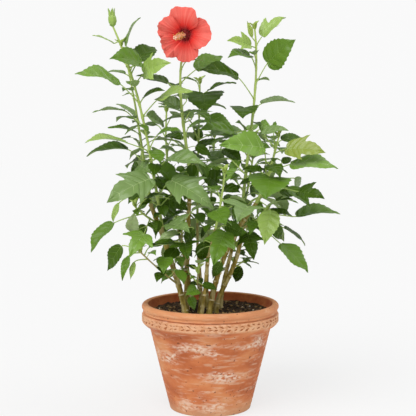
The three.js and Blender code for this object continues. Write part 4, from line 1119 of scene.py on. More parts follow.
def dress_shoot(mass):
    piece = Piece(mass.name.replace("foliage", "shoot"), SHOOT_MATERIALS)
    count = max(SHOOT_LEAST_RINGS, int(mass.limb.length() // SHOOT_STEP))
    shares = np.linspace(0, 1, count)
    centres = mass.limb.points(shares)
    reaches = [np.linalg.norm(centres - leaf.root, axis=1) for leaf in mass.leaves]
    swell = sum(np.exp(-(reach / NODE_REACH) ** 2) for reach in reaches if reach.min() < NODE_NEAR)
    radii = mass.limb.radius(shares) * (1 + NODE_SWELL * np.minimum(swell, NODE_SWELL_LIMIT))
    woody = centres[:, 2] < WOOD_TOP
    split = SHOOT_SIDES * (count - 1 if woody.all() else int(np.argmin(woody)))
    rings = tube_rings(centres, radii, SHOOT_SIDES)
    *sides, foot, top = ring_faces(count, SHOOT_SIDES)
    piece.add(rings.reshape(-1, 3), (sides[:split] + [foot], "shoot olive"),
              (sides[split:] + [top], "shoot green"))
    for twig in mass.twigs:
        add_limb(piece, twig, 9, 7, "shoot green")
    for leaf in mass.leaves:
        add_stalk(piece, leaf, STALK_RADIUS)
        add_stipules(piece, leaf)
    for leaf in mass.fine:
        add_stalk(piece, leaf, FINE_STALK_RADIUS)
    return piece


def add_young_tip(piece, mass):
    """Folded young leaflets round a growing tip, or under the bud."""
    tip = mass.limb.point(TIP_UNDER_BUD if mass.name == BUD["on"] else TIP_AT)
    for heading, rise, length in TIP_LEAVES:
        turn = TIP_TURN * looks.random()
        blade = small_blade(tip, heading + turn, rise, length, 30, 35, form="plain", tone="young")
        add_leaf(piece, blade, "fine")


def tone_and_shade_of(leaf):
    """The tone of a leaf that the rule grew: mostly dark, as painted shade, low in the crown."""
    chance = looks.random()
    if chance < (DARK_SHADE_DEEP if leaf.base[2] < DEEP_BELOW else DARK_SHADE_OUTSIDE):
        return "dark"
    if chance < 0.8:
        return "mid"
    return "grey" if chance < 0.9 else "fresh"


def dress_mass(mass):
    leaves = Piece(mass.name.replace("foliage", "leaves"), LEAF_MATERIALS)
    for leaf in mass.leaves:
        if leaf.tone is None:
            leaf.tone = tone_and_shade_of(leaf)
        add_leaf(leaves, leaf, "full")
    for leaf in mass.fine:
        add_leaf(leaves, leaf, "fine")
    shoots = dress_shoot(mass)
    if mass.name != BLOOM["on"]:
        add_young_tip(leaves, mass)
    return leaves, shoots


# Stems with the bark's relief: knobs, leaf scars every few centimetres, a pale cut top, and
# ridges, each with a depth (share of the radius), its number round the stem and its twist.

BARK_SIDES = 22
BARK_STEP = 1.8
BARK_RIDGES = [(0.045, 5, 0.05), (0.03, 9, -0.09)]
BARK_KNOBS = 0.03
BARK_GRAIN = 0.02
BARK_BURIED = 4
SCAR_SPACING = 24
SCAR_LENGTH = 2.2
SCAR_HEIGHT = 0.3
SCAR_SEEN = 0.16
FLARE = 0.16
FLARE_REACH = 7


def dress_stem(name, limb):
    piece = Piece(name + "_bark", ["bark", "bark cut", "bark scar"])
    length = limb.length()
    count = int(length // BARK_STEP)
    shares = np.linspace(0, 1, count)[:, None]
    angles = round_angles(BARK_SIDES)[None]
    run = shares * length
    phase = looks.uniform(0, 2 * math.pi, 6)
    ridges = sum(depth * np.sin(number * angles + twist * run + start)
                 for (depth, number, twist), start in zip(BARK_RIDGES, phase))
    knobs = np.sin(3 * angles + 0.31 * run + phase[2]) * np.sin(0.21 * run + phase[3])
    from_scar = run + 6 * phase[4]
    to_scar = from_scar % SCAR_SPACING - SCAR_SPACING / 2
    turn = GOLDEN_ANGLE * (from_scar // SCAR_SPACING)
    facing_scar = np.clip(np.cos(angles - np.radians(turn)), 0, 1)
    scars = SCAR_HEIGHT * np.exp(-(to_scar / SCAR_LENGTH) ** 2) * (0.45 + 0.55 * facing_scar)
    grain = BARK_GRAIN * looks.standard_normal((count, BARK_SIDES))
    flare = FLARE * np.exp(-run / FLARE_REACH)
    radii = limb.radius(shares) * (1 + ridges + BARK_KNOBS * knobs + scars + grain + flare)
    centres = limb.points(shares[:, 0])
    centres[0] -= UP * BARK_BURIED
    rings = tube_rings(centres, radii, BARK_SIDES)
    *sides, top = ring_faces(count, BARK_SIDES)
    piece.add(rings.reshape(-1, 3), (sides, "bark"), ([top], "bark cut"))
    marked = np.argwhere(scars[:-1] > SCAR_SEEN)
    piece.repaint([row * BARK_SIDES + side for row, side in marked], "bark scar")
    piece.finish("bark", [name], sharp=80)


# Bloom: five ruffled petals with raised veins, and a staminal column with anthers. Each petal's
# habit is its turn from an even place, its share of the full length and half its spread, with
# the angles in degrees. A wave or notch is its height as a share of the length, and how many
# radians it runs through from a petal's middle to its side.

PETAL_HABITS = [(-7, 1.0, 60), (-8, 1.0, 46), (-22, 0.97, 45), (-38, 0.96, 45), (-24, 0.97, 58)]
PETAL_ROWS = 30
PETAL_COLUMNS = 40
PETAL_VEINS = 13
PETAL_THICKNESS = 0.7
PETAL_FOLD = 0.1
PETAL_LAP = 12
PETAL_SEAT = 0.45
PETAL_SEAT_RADIUS = 3
PETAL_SHOULDERS = (0.4, 2.8)
MARGIN_NOTCHES = [(0.02, 7), (0.012, 24)]
PETAL_WAVES = [(0.13, 5.5), (0.08, 13)]
MARGIN_WAVE = (0.03, 31)
PLEATS = 0.012
RUFFLE_START = 0.35
PETAL_VEIN_TAPER = (0.5, 0.2)
PETAL_VEIN_RISE = 0.5

petal_looks = np.random.default_rng(5)


def petal_frame(i):
    turn, size, half = PETAL_HABITS[i]
    angle = math.radians(BLOOM["first_petal"] + 360 * i / BLOOM["petals"] + turn)
    back = calyx_mouth + facing * GAP
    front = throat - facing * 2
    centre = back + (front - back) * PETAL_SEAT
    radial = ring_place(ORIGIN, facing, angle, 1)
    rise = math.radians(BLOOM["spread"])
    forward = radial * math.cos(rise) + facing * math.sin(rise)
    face = facing * math.cos(rise) - radial * math.sin(rise)
    side = np.cross(face, forward)
    lap = math.radians(PETAL_LAP)
    face = face * math.cos(lap) + side * math.sin(lap)
    return make_blade(
        ring_place(centre, facing, angle, PETAL_SEAT_RADIUS), forward, face,
        math.radians(BLOOM["arch"]), PETAL_FOLD, BLOOM["petal_length"] * size,
        half_angle=math.radians(half),
    )


def add_petal(piece, petal):
    """A thin sheet whose upper and lower sides share their outer rows and columns."""
    steps = np.linspace(0, 1, PETAL_ROWS)[:, None]
    shares = np.linspace(-1, 1, PETAL_COLUMNS + 1)[None]
    waves = petal_looks.uniform(0, 2 * math.pi, 4)
    drop, roundness = PETAL_SHOULDERS
    reach = 1 - drop * np.abs(shares) ** roundness
    for (depth, turns), start in zip(MARGIN_NOTCHES, (waves[0], waves[3])):
        reach = reach + depth * np.sin(turns * shares + start)
    along = steps * reach * np.cos(shares * petal.half_angle)
    across = steps * reach * np.sin(shares * petal.half_angle) * petal.length
    ruffle = np.clip(steps - RUFFLE_START, 0, 1) ** 1.6
    lift = sum(height * np.sin(turns * shares + start)
               for (height, turns), start in zip(PETAL_WAVES, waves[1:3]))
    lift = lift + MARGIN_WAVE[0] * np.sin(MARGIN_WAVE[1] * shares + waves[0]) * steps ** 6
    pleats = PLEATS * np.cos(PETAL_VEINS * np.pi * shares) * steps
    lift = (lift * ruffle + pleats) * petal.length
    middle = blade_places(petal, along.ravel(), across.ravel(), lift.ravel())
    middle = middle.reshape(PETAL_ROWS, PETAL_COLUMNS + 1, 3)
    normals = np.cross(np.gradient(middle, axis=0), np.gradient(middle, axis=1))
    normals /= np.maximum(np.linalg.norm(normals, axis=2), 1e-9)[..., None]
    half = normals * PETAL_THICKNESS / 2
    count = PETAL_ROWS * (PETAL_COLUMNS + 1)
    index = np.arange(count).reshape(middle.shape[:2])
    under = index + count
    for edge in (np.s_[0, :], np.s_[-1, :], np.s_[:, 0], np.s_[:, -1]):
        half[edge] = 0
        under[edge] = index[edge]
    places = np.vstack([(middle + half).reshape(-1, 3), (middle - half).reshape(-1, 3)])
    faces = grid_faces(index) + turned_over(grid_faces(under))
    used = sorted({i for face in faces for i in face})
    number = {old: new for new, old in enumerate(used)}
    piece.add(places[used], ([[number[i] for i in face] for face in faces], "petal"))
    for k in range(PETAL_VEINS):
        column = round((k + 1) * PETAL_COLUMNS / (PETAL_VEINS + 1))
        line = middle[2:-3, column]
        widths = np.linspace(*PETAL_VEIN_TAPER, len(line))
        add_rib(piece, line, normals[2:-3, column], widths, PETAL_VEIN_RISE, "petal vein")


def dress_petals():
    piece = Piece("bloom_petals_ruffled", ["petal", "petal vein"])
    back = calyx_mouth - facing * 3
    front = throat - facing * 2
    shares = np.linspace(0, 1, 8)
    centres = [back + (front - back) * t for t in shares]
    add_tube(piece, centres, 6 + (BLOOM["cup_radius"] - 7.5) * shares ** 1.6, 20, "petal")
    for i in range(BLOOM["petals"]):
        add_petal(piece, petal_frame(i))
    piece.finish("petal", ["bloom_petals"], sharp=70)


# Grains serve as anthers, stigma pads, clods and the pale grains on the soil.

GRAIN_CORNERS = [[1, 0, 0], [-1, 0, 0], [0, 1, 0], [0, -1, 0], [0, 0, 1], [0, 0, -1]]
GRAIN_FACES = [[0, 2, 4], [2, 1, 4], [1, 3, 4], [3, 0, 4], [2, 0, 5], [1, 2, 5], [3, 1, 5],
               [0, 3, 5]]


def add_grain(piece, centre, size, material, jitter=0.25):
    """A small rounded grain: an octahedron split once, with its corners moved a little."""
    places, split, halves = list(map(np.array, GRAIN_CORNERS)), [], {}

    def half_way(a, b):
        key = tuple(sorted((a, b)))
        if key not in halves:
            halves[key] = len(places)
            places.append(unit(np.array(places[a], float) + places[b]))
        return halves[key]

    for a, b, c in GRAIN_FACES:
        ab, bc, ca = half_way(a, b), half_way(b, c), half_way(c, a)
        split += [[a, ab, ca], [ab, b, bc], [ca, bc, c], [ab, bc, ca]]
    shape = np.array(places, float) * looks.uniform(1 - jitter, 1 + jitter, (len(places), 1))
    piece.add(centre + shape * size, (split, material))


# The column: stamens stand round it by the golden angle, with stigma pads at its tip.

STAMENS = 70
STAMENS_FROM = 0.42
STAMENS_SPAN = 0.55
STAMEN_REACH = (3.6, 7.6)
STAMEN_RISE = (0.5, 3)
FILAMENT_TAPER = [0.35, 0.3, 0.25]
STYLE_TAPER = [0.6, 0.5, 0.4]
ANTHER = np.array([1.15, 0.95, 0.85])
STIGMA_PADS = 5
STIGMA_PAD = 1.25
COLUMN_DROOP = 0.24
COLUMN_SHOWN = 0.84


def dress_column():
    piece = Piece("bloom_column_stamens", ["column", "filament", "anther", "stigma"])
    lean = unit(np.array(BLOOM["column_lean"]) - UP * COLUMN_DROOP)
    foot = throat - facing * (2 - GAP)
    knee = foot + facing * 8
    tip = knee + lean * BLOOM["column_length"] * COLUMN_SHOWN
    limb = Limb([foot, knee, knee + lean * 12, tip], [1, 1])
    taper = 1.15 - 0.5 * np.linspace(0, 1, 20)
    add_limb(piece, limb, 20, 12, "column", BLOOM["column_radius"] * taper)
    for i in range(STAMENS):
        share = STAMENS_FROM + STAMENS_SPAN * (i + 0.5) / STAMENS
        centre = limb.point(share)
        run = limb.tangent(share)
        spoke = ring_place(ORIGIN, run, math.radians(GOLDEN_ANGLE * i), 1)
        reach = looks.uniform(*STAMEN_REACH)
        end = centre + spoke * reach + run * looks.uniform(*STAMEN_RISE)
        bent = (centre + end) / 2 + run * 0.6
        add_tube(piece, [centre, bent, end], FILAMENT_TAPER, 4, "filament")
        add_grain(piece, end, ANTHER, "anther")
    for i in range(STIGMA_PADS):
        spoke = ring_place(ORIGIN, lean, 2 * math.pi * i / STIGMA_PADS, 1)
        end = tip + spoke * 3 + lean * 4
        add_tube(piece, [tip - lean, tip + lean * 3 + spoke, end], STYLE_TAPER, 5, "filament")
        add_grain(piece, end, STIGMA_PAD, "stigma", 0.1)
    piece.finish("stamens", ["bloom_column"], sharp=60)


# Bud and calyx: ribbed cups whose profiles give (share, radius). Rings of pointed teeth stand
# round the crown, at a share of the length, and round the foot: each ring is how many teeth, its
# radius, their length, how far they lean out and their tone.

CUPS = {
    "bud": {
        "profile": [(0, 2.4), (0.12, 5.6), (0.4, 8.4), (0.75, 8.2), (1, 6.2)],
        "ribs": 5, "depth": 0.1, "tone": "light", "crown": 0.74,
        "teeth": (BUD["teeth"], BUD["radius"] * 0.72, BUD["tooth_length"], -0.04, "light"),
        "collar": (7, 2.5, 6, 1.0, "fresh"),
    },
    "calyx": {
        "profile": [(0, 3), (0.3, 7.2), (0.8, 8.2), (1, 6.6)],
        "ribs": 10, "depth": 0.05, "tone": "fresh", "crown": 0.8,
        "teeth": (5, BLOOM["calyx_radius"] * 0.8, 15, 0.25, "fresh"),
        "collar": (7, 3, 14, 0.8, "mid"),
    },
}
CUP_SIDES = 40
CUP_RINGS = 16
TEETH_BEND = 0.12
TEETH_FOLD = 0.25
BUD_LEAN = 0.3
BLOOM_STALK_RADIUS = [2, 2.4]


def add_teeth(piece, centre, axis, count, radius, length, outward, tone):
    for i in range(count):
        base = ring_place(centre, axis, 2 * math.pi * (i + 0.5) / count, radius)
        inward = unit(centre - base)
        forward = unit(axis - inward * outward)
        face = unit(inward - forward * (inward @ forward))
        blade = make_blade(base, forward, face, TEETH_BEND, TEETH_FOLD, length, form="narrow",
                           tone=tone)
        add_leaf(piece, blade, "fine")


def add_cup(piece, name, foot, axis, length):
    cup = CUPS[name]
    shares = np.linspace(0, 1, CUP_RINGS)
    radii = np.interp(shares, *np.array(cup["profile"]).T)
    pattern = 1 + cup["depth"] * np.cos(cup["ribs"] * round_angles(CUP_SIDES))
    centres = [foot + axis * share * length for share in shares]
    add_tube(piece, centres, [radius * pattern for radius in radii], CUP_SIDES,
             f"leaf {cup['tone']}")
    add_teeth(piece, foot + axis * length * cup["crown"], axis, *cup["teeth"])
    add_teeth(piece, foot, axis, *cup["collar"])


def dress_bud(leaves, mass):
    axis = unit(UP + mass.limb.tangent(1) * BUD_LEAN)
    add_cup(leaves, "bud", mass.limb.point(0.99), axis, BUD["length"])


def dress_calyx(leaves, shoots, mass):
    """The calyx, with the bloom's stalk bent round under it."""
    top = mass.limb.point(0.98)
    bent = calyx_foot - facing * 14 - UP * 12
    limb = Limb([top, (top + bent) / 2 + UP * 3, bent, calyx_foot + facing], BLOOM_STALK_RADIUS)
    add_limb(shoots, limb, 14, 9, "stalk")
    add_cup(leaves, "calyx", calyx_foot, facing, BLOOM["calyx_length"])


# The pot: turned on its axis, with a carved band under the rim and throwing rings. The mouldings
# are (in from the rim's radius, up from the band's edge), and the ranges of a nick's habit give
# its depth, shift, foot and head.

POT_SIDES = 480
BODY_RINGS = 34
FOOT_CORNER = 3.5
UNDER_BAND = [(13, -11.5), (7.5, -8), (3.6, -4.5), (1.4, -1.5)]
BAND_RINGS = 15
GROOVE_SEEN = 5.5
OVER_BAND = [(1.0, 0.6), (GROOVE_DEPTH, 1.6), (GROOVE_SEEN, 2.8), (GROOVE_SEEN, 3.8),
             (GROOVE_DEPTH, 5)]
RIM_ROUNDING = (7.2, 7.5)
RIM_ARC = (-64, 84, 10)
MOUTH_CORNER = [(3.5, 0.4), (1, 1.6), (0, 4.5), (0, 10)]
BAND_REPEATS = 66
BAND_DEPTH = 2.2
BAND_CARVED = (0.08, 0.9)
NICK_RANGES = ([0.4, -0.16, -0.1, 0.6], [1.0, 0.16, 0.25, 1.15])
NICK_HABITS = np.random.default_rng(8).uniform(*NICK_RANGES, (2, BAND_REPEATS, 4)).swapaxes(1, 2)
NICK_LEAN = 0.55
# Nick faces deeper than this share of the band's depth take a darker clay: painted shade in the
# nicks.
NICK_SHADE_DEPTH = 0.36
POT_INSET = 0.35
OUT_OF_ROUND = 0.18
ROUGHNESS = 0.07
THROWING_RINGS = 0.22


def inner_radius(height):
    slope = (BODY_TOP_RADIUS - FOOT_RADIUS) / BODY_TOP
    return min(FOOT_RADIUS + slope * height - WALL, MOUTH_RADIUS)


def pot_outline():
    """(radius, height) from the foot's edge to the rim's top, and down inside to the floor."""
    outside = [(FOOT_RADIUS - 4, 0), (FOOT_RADIUS - 0.8, 0.8), (FOOT_RADIUS, FOOT_CORNER)]
    for share in np.linspace(0, 1, BODY_RINGS)[1:]:
        outside.append((FOOT_RADIUS + (BODY_TOP_RADIUS - FOOT_RADIUS) * share,
                        FOOT_CORNER + (BODY_TOP - FOOT_CORNER) * share))
    outside += [(RIM_RADIUS - inwards, BAND_BOTTOM + up) for inwards, up in UNDER_BAND]
    for height in np.linspace(BAND_BOTTOM + 0.5, BAND_TOP - 0.5, BAND_RINGS):
        outside.append((RIM_RADIUS - 0.1, height))
    outside += [(RIM_RADIUS - inwards, BAND_TOP + up) for inwards, up in OVER_BAND]
    rim_middle = (BAND_TOP + 5 + POT_HEIGHT) / 2 + 2
    out, up = RIM_ROUNDING
    for angle in np.radians(np.linspace(*RIM_ARC)):
        outside.append((RIM_RADIUS - out + out * math.cos(angle),
                        rim_middle + up * math.sin(angle)))
    inside = [(MOUTH_RADIUS + out, POT_HEIGHT - down) for out, down in MOUTH_CORNER]
    inside += [(inner_radius(height), height) for height in (SOIL_LEVEL, FLOOR_THICKNESS)]
    return outside, inside


def band_relief(angles, height):
    """Worn leaf-like nicks that lean one way above the band's middle and the other below it."""
    middle = (BAND_BOTTOM + BAND_TOP) / 2
    half = (BAND_TOP - BAND_BOTTOM) / 2
    up = (height - middle) / half
    if not BAND_CARVED[0] <= abs(up) <= BAND_CARVED[1]:
        return np.zeros_like(angles)
    phase = (angles / (2 * np.pi) * BAND_REPEATS + abs(up) * NICK_LEAN) % BAND_REPEATS
    number = phase.astype(int) % BAND_REPEATS
    depth, shift, foot, head = NICK_HABITS[int(up > 0)][:, number]
    nick = np.clip(1.15 - 3.4 * np.abs(phase % 1 - 0.5 + shift), 0, 1)
    worn = np.clip(4 * (abs(up) - foot), 0, 1) * np.clip(4 * (head - abs(up)), 0, 1)
    return -BAND_DEPTH * nick * depth * worn


def dress_pot():
    piece = Piece("pot_terracotta", ["terracotta", "terracotta inside", "terracotta nick shade"])
    outside, inside = pot_outline()
    angles = round_angles(POT_SIDES)
    rough = looks.standard_normal((len(outside) + len(inside), POT_SIDES))
    rings, nicks = [], []
    for i, (radius, height) in enumerate(outside + inside):
        outer = i < len(outside)
        radii = np.full(POT_SIDES, float(radius)) - POT_INSET
        radii += OUT_OF_ROUND * np.sin(2 * angles + height / 40) + ROUGHNESS * rough[i]
        if outer and BAND_BOTTOM <= height <= BAND_TOP:
            relief = band_relief(angles, height)
            radii += relief
            # Painted shade: the deeper faces of the nicks get the darker clay.
            deep = np.nonzero(relief < -NICK_SHADE_DEPTH * BAND_DEPTH)[0]
            nicks += [i * POT_SIDES + k for k in deep]
        if outer and 6 < height < BODY_TOP:
            radii += THROWING_RINGS * np.sin(height * 0.55 + 2 * np.sin(angles))
        rings.append(level_ring(angles, radii, height))
    *sides, foot, floor = ring_faces(len(rings), POT_SIDES)
    split = (len(outside) + 1) * POT_SIDES
    piece.add(np.vstack(rings), (sides[:split] + [foot], "terracotta"),
              (sides[split:] + [floor], "terracotta inside"))
    piece.repaint(nicks, "terracotta nick shade")
    piece.finish("terracotta", ["pot"], sharp=60)


# Soil: an uneven surface with clods, bark chips and a few pale grains

SOIL_RINGS = 46
SOIL_SIDES = 120
SOIL_CLEARANCE = GAP + 0.2
SOIL_ROUGHNESS = 0.9
SOIL_SUNK = 1.5
SOIL_HIGHEST = SOIL_LEVEL + 2
SHOULDER_IN = 1.5
SHOULDER_DOWN = 8
CLODS = 900
CLOD_SIZE = (1.2, 3.6)
CLOD_SHAPE = np.array([1.2, 1, 0.8])
CHIPS = 170
CHIP_LENGTH = (4, 10)
CHIP_WIDTH = (1.6, 3.6)
CHIP_THICKNESS = (0.6, 1.4)
CHIP_TAPER = (0.7, 1, 0.5)
PALE_GRAINS = 14
PALE_GRAIN_SIZE = (1.1, 2.2)


def soil_height(x, y):
    waves = 1.6 * np.sin(x / 17 + 1) * np.cos(y / 13) + 1.1 * np.sin(x / 6.1 + y / 7.3)
    return SOIL_LEVEL - SOIL_SUNK + waves


def dress_soil():
    piece = Piece("soil_surface", ["soil"])
    edge = inner_radius(SOIL_LEVEL) - SOIL_CLEARANCE
    foot = inner_radius(FLOOR_THICKNESS) - SOIL_CLEARANCE
    angles = round_angles(SOIL_SIDES)
    rings = [level_ring(angles, foot, FLOOR_THICKNESS + GAP),
             level_ring(angles, edge - SHOULDER_IN, SOIL_LEVEL - SHOULDER_DOWN)]
    for share in np.linspace(1, 0.01, SOIL_RINGS):
        ring = level_ring(angles, edge * share, 0)
        rough = SOIL_ROUGHNESS * looks.standard_normal(SOIL_SIDES) * min(1, share * 4)
        ring[:, 2] = np.minimum(soil_height(ring[:, 0], ring[:, 1]) + rough, SOIL_HIGHEST)
        rings.append(ring)
    add_rings(piece, np.array(rings), "soil")
    piece.finish("soil", ["soil"], sharp=60)


def soil_place():
    """A random place on the soil."""
    radius = (inner_radius(SOIL_LEVEL) - 4) * math.sqrt(looks.random())
    angle = looks.uniform(0, 2 * math.pi)
    x, y = radius * math.cos(angle), radius * math.sin(angle)
    return np.array([x, y, soil_height(x, y)])


def add_chip(piece):
    """A flattened splinter of bark."""
    centre = soil_place() + UP * 1.5
    along = direction(looks.uniform(0, 360), looks.uniform(-20, 25))
    up = unit(UP + 0.4 * looks.standard_normal(3))
    across = unit(np.cross(up, along))
    flat = np.cross(across, along)
    length = looks.uniform(*CHIP_LENGTH)
    width = looks.uniform(*CHIP_WIDTH)
    thick = looks.uniform(*CHIP_THICKNESS)
    rings = tube_rings([centre - along * length / 2, centre, centre + along * length / 2],
                       [width * share for share in CHIP_TAPER], 5)
    depth = (rings - centre) @ flat
    add_rings(piece, rings - depth[..., None] * flat * (1 - thick / width), "chip")


def dress_soil_bits():
    piece = Piece("soil_bits", ["soil", "chip", "grain"])
    for _ in range(CLODS):
        size = looks.uniform(*CLOD_SIZE)
        add_grain(piece, soil_place(), size * CLOD_SHAPE, "soil", 0.3)
    for _ in range(CHIPS):
        add_chip(piece)
    for _ in range(PALE_GRAINS):
        add_grain(piece, soil_place() + UP, looks.uniform(*PALE_GRAIN_SIZE), "grain", 0.2)
    piece.finish("soil", None, sharp=40)


# Materials, each built of nodes alone, in the pieces' own coordinates (metres)

PRINCIPLED = "Principled BSDF"
materials = {}


class Pattern:
    """A material's nodes. node, fed and vector give back a new node, and the others a socket."""

    def __init__(self, tree):
        self.tree = tree

    def node(self, kind, **settings):
        made = self.tree.nodes.new("ShaderNode" + kind)
        for key, value in settings.items():
            setattr(made, key, value)
        return made

    def feed(self, socket, value):
        """Links a socket to another, or gives it a constant; a text is a hex colour."""
        if isinstance(value, bpy.types.NodeSocket):
            self.tree.links.new(value, socket)
        else:
            socket.default_value = linear(value) if isinstance(value, str) else value

    def fed(self, kind, *values, **settings):
        """A new node with its first sockets fed."""
        made = self.node(kind, **settings)
        for socket, value in zip(made.inputs, values):
            self.feed(socket, value)
        return made

    def place(self):
        return self.node("TexCoord").outputs["Object"]

    def vector(self, operation, first, second):
        return self.fed("VectorMath", first, second, operation=operation)

    def maths(self, operation, first, second):
        return self.fed("Math", first, second, operation=operation).outputs[0]

    def times(self, first, second):
        return self.maths("MULTIPLY", first, second)

    def between(self, source, low, high):
        """0 below low and 1 above high, or the other way round where low is the greater."""
        return self.fed("MapRange", source, low, high, interpolation_type="SMOOTHSTEP").outputs[0]

    def noise(self, scale, stretch=(1, 1, 1), detail=4.0):
        """A noise that is stretched along the axes."""
        mapping = self.node("Mapping")
        self.feed(mapping.inputs["Vector"], self.place())
        self.feed(mapping.inputs["Scale"], stretch)
        return self.noise_at(mapping.outputs[0], scale, detail)

    def noise_at(self, place, scale, detail, dimensions="3D"):
        made = self.node("TexNoise", noise_dimensions=dimensions)
        self.feed(made.inputs["Vector" if dimensions == "3D" else "W"], place)
        self.feed(made.inputs["Scale"], scale)
        self.feed(made.inputs["Detail"], detail)
        return made.outputs[0]

    def ramp(self, source, stops):
        made = self.fed("ValToRGB", source)
        elements = made.color_ramp.elements
        while len(elements) < len(stops):
            elements.new(0.5)
        for element, (place, code) in zip(elements, stops):
            element.position = place
            element.color = linear(code)
        return made.outputs[0]

    def mix(self, factor, first, second):
        made = self.fed("Mix", factor, data_type="RGBA")
        self.feed(made.inputs[6], first)
        self.feed(made.inputs[7], second)
        return made.outputs[2]


def add_material(name, colour, roughness, bump=None, **settings):
    """The colour is a hex code, or a function that draws it with the material's pattern; bump is
    a noise's scale, stretch and detail, and the depth in metres that it stands for."""
    material = bpy.data.materials.new(name)
    materials[name] = material
    material.use_nodes = True
    pattern = Pattern(material.node_tree)
    shader = material.node_tree.nodes[PRINCIPLED]
    pattern.feed(shader.inputs["Base Color"], colour(pattern) if callable(colour) else colour)
    pattern.feed(shader.inputs["Roughness"], roughness)
    for socket, value in settings.items():
        pattern.feed(shader.inputs[socket.replace("_", " ")], value)
    if bump:
        height, depth = bump
        made = pattern.node("Bump")
        pattern.feed(made.inputs["Distance"], depth)
        pattern.feed(made.inputs["Strength"], 1.0)
        pattern.feed(made.inputs["Height"], pattern.noise(*height))
        pattern.feed(shader.inputs["Normal"], made.outputs[0])


# Places on the pot where salts gather: heading in degrees, height and reach

SALT_SPOTS = [
    (284, 88, 84), (258, 150, 84), (322, 156, 58), (262, 24, 84), (214, 128, 72),
    (10, 60, 76), (40, 120, 70), (95, 150, 64), (110, 66, 80), (165, 104, 72),
]
SALT_STRETCH = 3.0
SALT_GATHERED = 0.27
FOOT_BLOOM = 34


def salt_spots(pattern):
    """1 in the middle of a spot and 0 away from all of them."""
    stretched = pattern.vector("MULTIPLY", pattern.place(), (1, 1, SALT_STRETCH)).outputs[0]
    nearest = None
    for heading, at, reach in SALT_SPOTS:
        radius = FOOT_RADIUS + (BODY_TOP_RADIUS - FOOT_RADIUS) * at / BODY_TOP
        centre = direction(heading, 0) * radius + UP * at * SALT_STRETCH
        gap = pattern.vector("DISTANCE", stretched, centre * MM).outputs["Value"]
        spot = pattern.between(gap, reach * MM, 0.25 * reach * MM)
        nearest = spot if nearest is None else pattern.maths("MAXIMUM", nearest, spot)
    return nearest


def terracotta(pattern):
    """Fired clay with salts and a film of them, a paler rim, band and foot, and dark specks of
    painted shade for pits.
    """
    noise, between, times = pattern.noise, pattern.between, pattern.times
    height = pattern.fed("SeparateXYZ", pattern.place()).outputs[2]
    clay = pattern.ramp(noise(14, (1, 1, 1.8), 8), [
        (0.32, "#a9572c"), (0.48, "#bf6d3e"), (0.6, "#cb8150"), (0.72, "#cf9264"),
    ])

    def lay(amount, strength, code):
        nonlocal clay
        clay = pattern.mix(times(amount, strength), clay, code)

    gathered = times(salt_spots(pattern), SALT_GATHERED)
    salts = between(pattern.maths("ADD", noise(24, (1, 1, 3), 10), gathered), 0.57, 0.86)
    worn = between(noise(120, (1, 1, 2), 6), 0.36, 0.6)
    lay(times(salts, worn), 0.9, "#e2cbb6")
    lay(between(noise(30, (1, 1, 5), 9), 0.5, 0.7), 0.5, "#d8b698")
    lay(between(height, (BAND_TOP + 1) * MM, (BAND_TOP + 9) * MM), 0.5, "#d79c6e")
    band = times(between(height, (BAND_BOTTOM - 5) * MM, (BAND_BOTTOM + 1) * MM),
                 between(height, (BAND_TOP + 3) * MM, (BAND_TOP + 1) * MM))
    lay(band, 0.55, "#e0b892")
    # Darker blotches on the band: clay that varies in colour, and painted shade of the band's worn
    # marks.
    lay(times(band, between(noise(130, detail=3), 0.5, 0.6)), 0.5, "#b9733f")
    lay(between(height, FOOT_BLOOM * MM, 0), 0.6, "#cfa681")
    # Dark specks: painted shade standing for small pits.
    lay(between(noise(150, detail=1), 0.7, 0.74), 0.75, "#5f2e18")
    return clay


def soil(pattern):
    return pattern.ramp(pattern.noise(160, detail=5), [
        (0.35, "#22150a"), (0.58, "#432c16"), (0.72, "#6e5232"),
    ])


def bark(pattern):
    streaks = pattern.ramp(pattern.noise(140, (1, 1, 0.25), 6), [
        (0.3, "#6b5c20"), (0.5, "#948139"), (0.7, "#b5a158"),
    ])
    patches = pattern.between(pattern.noise(70, (1, 1, 0.4), 5), 0.5, 0.62)
    return pattern.mix(patches, streaks, "#bcad76")


def terracotta_inside(pattern):
    return pattern.ramp(pattern.noise(60, detail=5), [(0.3, "#ab5227"), (0.7, "#c6703e")])


def petal(pattern):
    """Dark in the throat, paler towards the margins, with streaks that run outwards."""
    gap = pattern.vector("SUBTRACT", pattern.place(), (throat - facing * 4) * MM).outputs[0]
    reach = pattern.fed("VectorMath", gap, operation="LENGTH").outputs["Value"]
    split = pattern.fed("SeparateXYZ", gap)
    turn = pattern.maths("ARCTAN2", split.outputs[2], split.outputs[0])
    bent = pattern.maths("ADD", turn, pattern.times(reach, 4))
    streak = pattern.noise_at(bent, 9, 3, "1D")
    red = pattern.ramp(pattern.between(reach, 0.0, 0.06), [
        (0.1, "#560207"), (0.17, "#a80f17"), (0.3, "#dc3028"), (0.8, "#ea6c60"),
    ])
    dark = pattern.times(pattern.between(streak, 0.5, 0.36), 0.22)
    pale = pattern.times(pattern.between(streak, 0.55, 0.7), 0.25)
    return pattern.mix(pale, pattern.mix(dark, red, "#c92a26"), "#f28c7e")


# Plain materials (colour, roughness), and the gloss of the leaves' tones

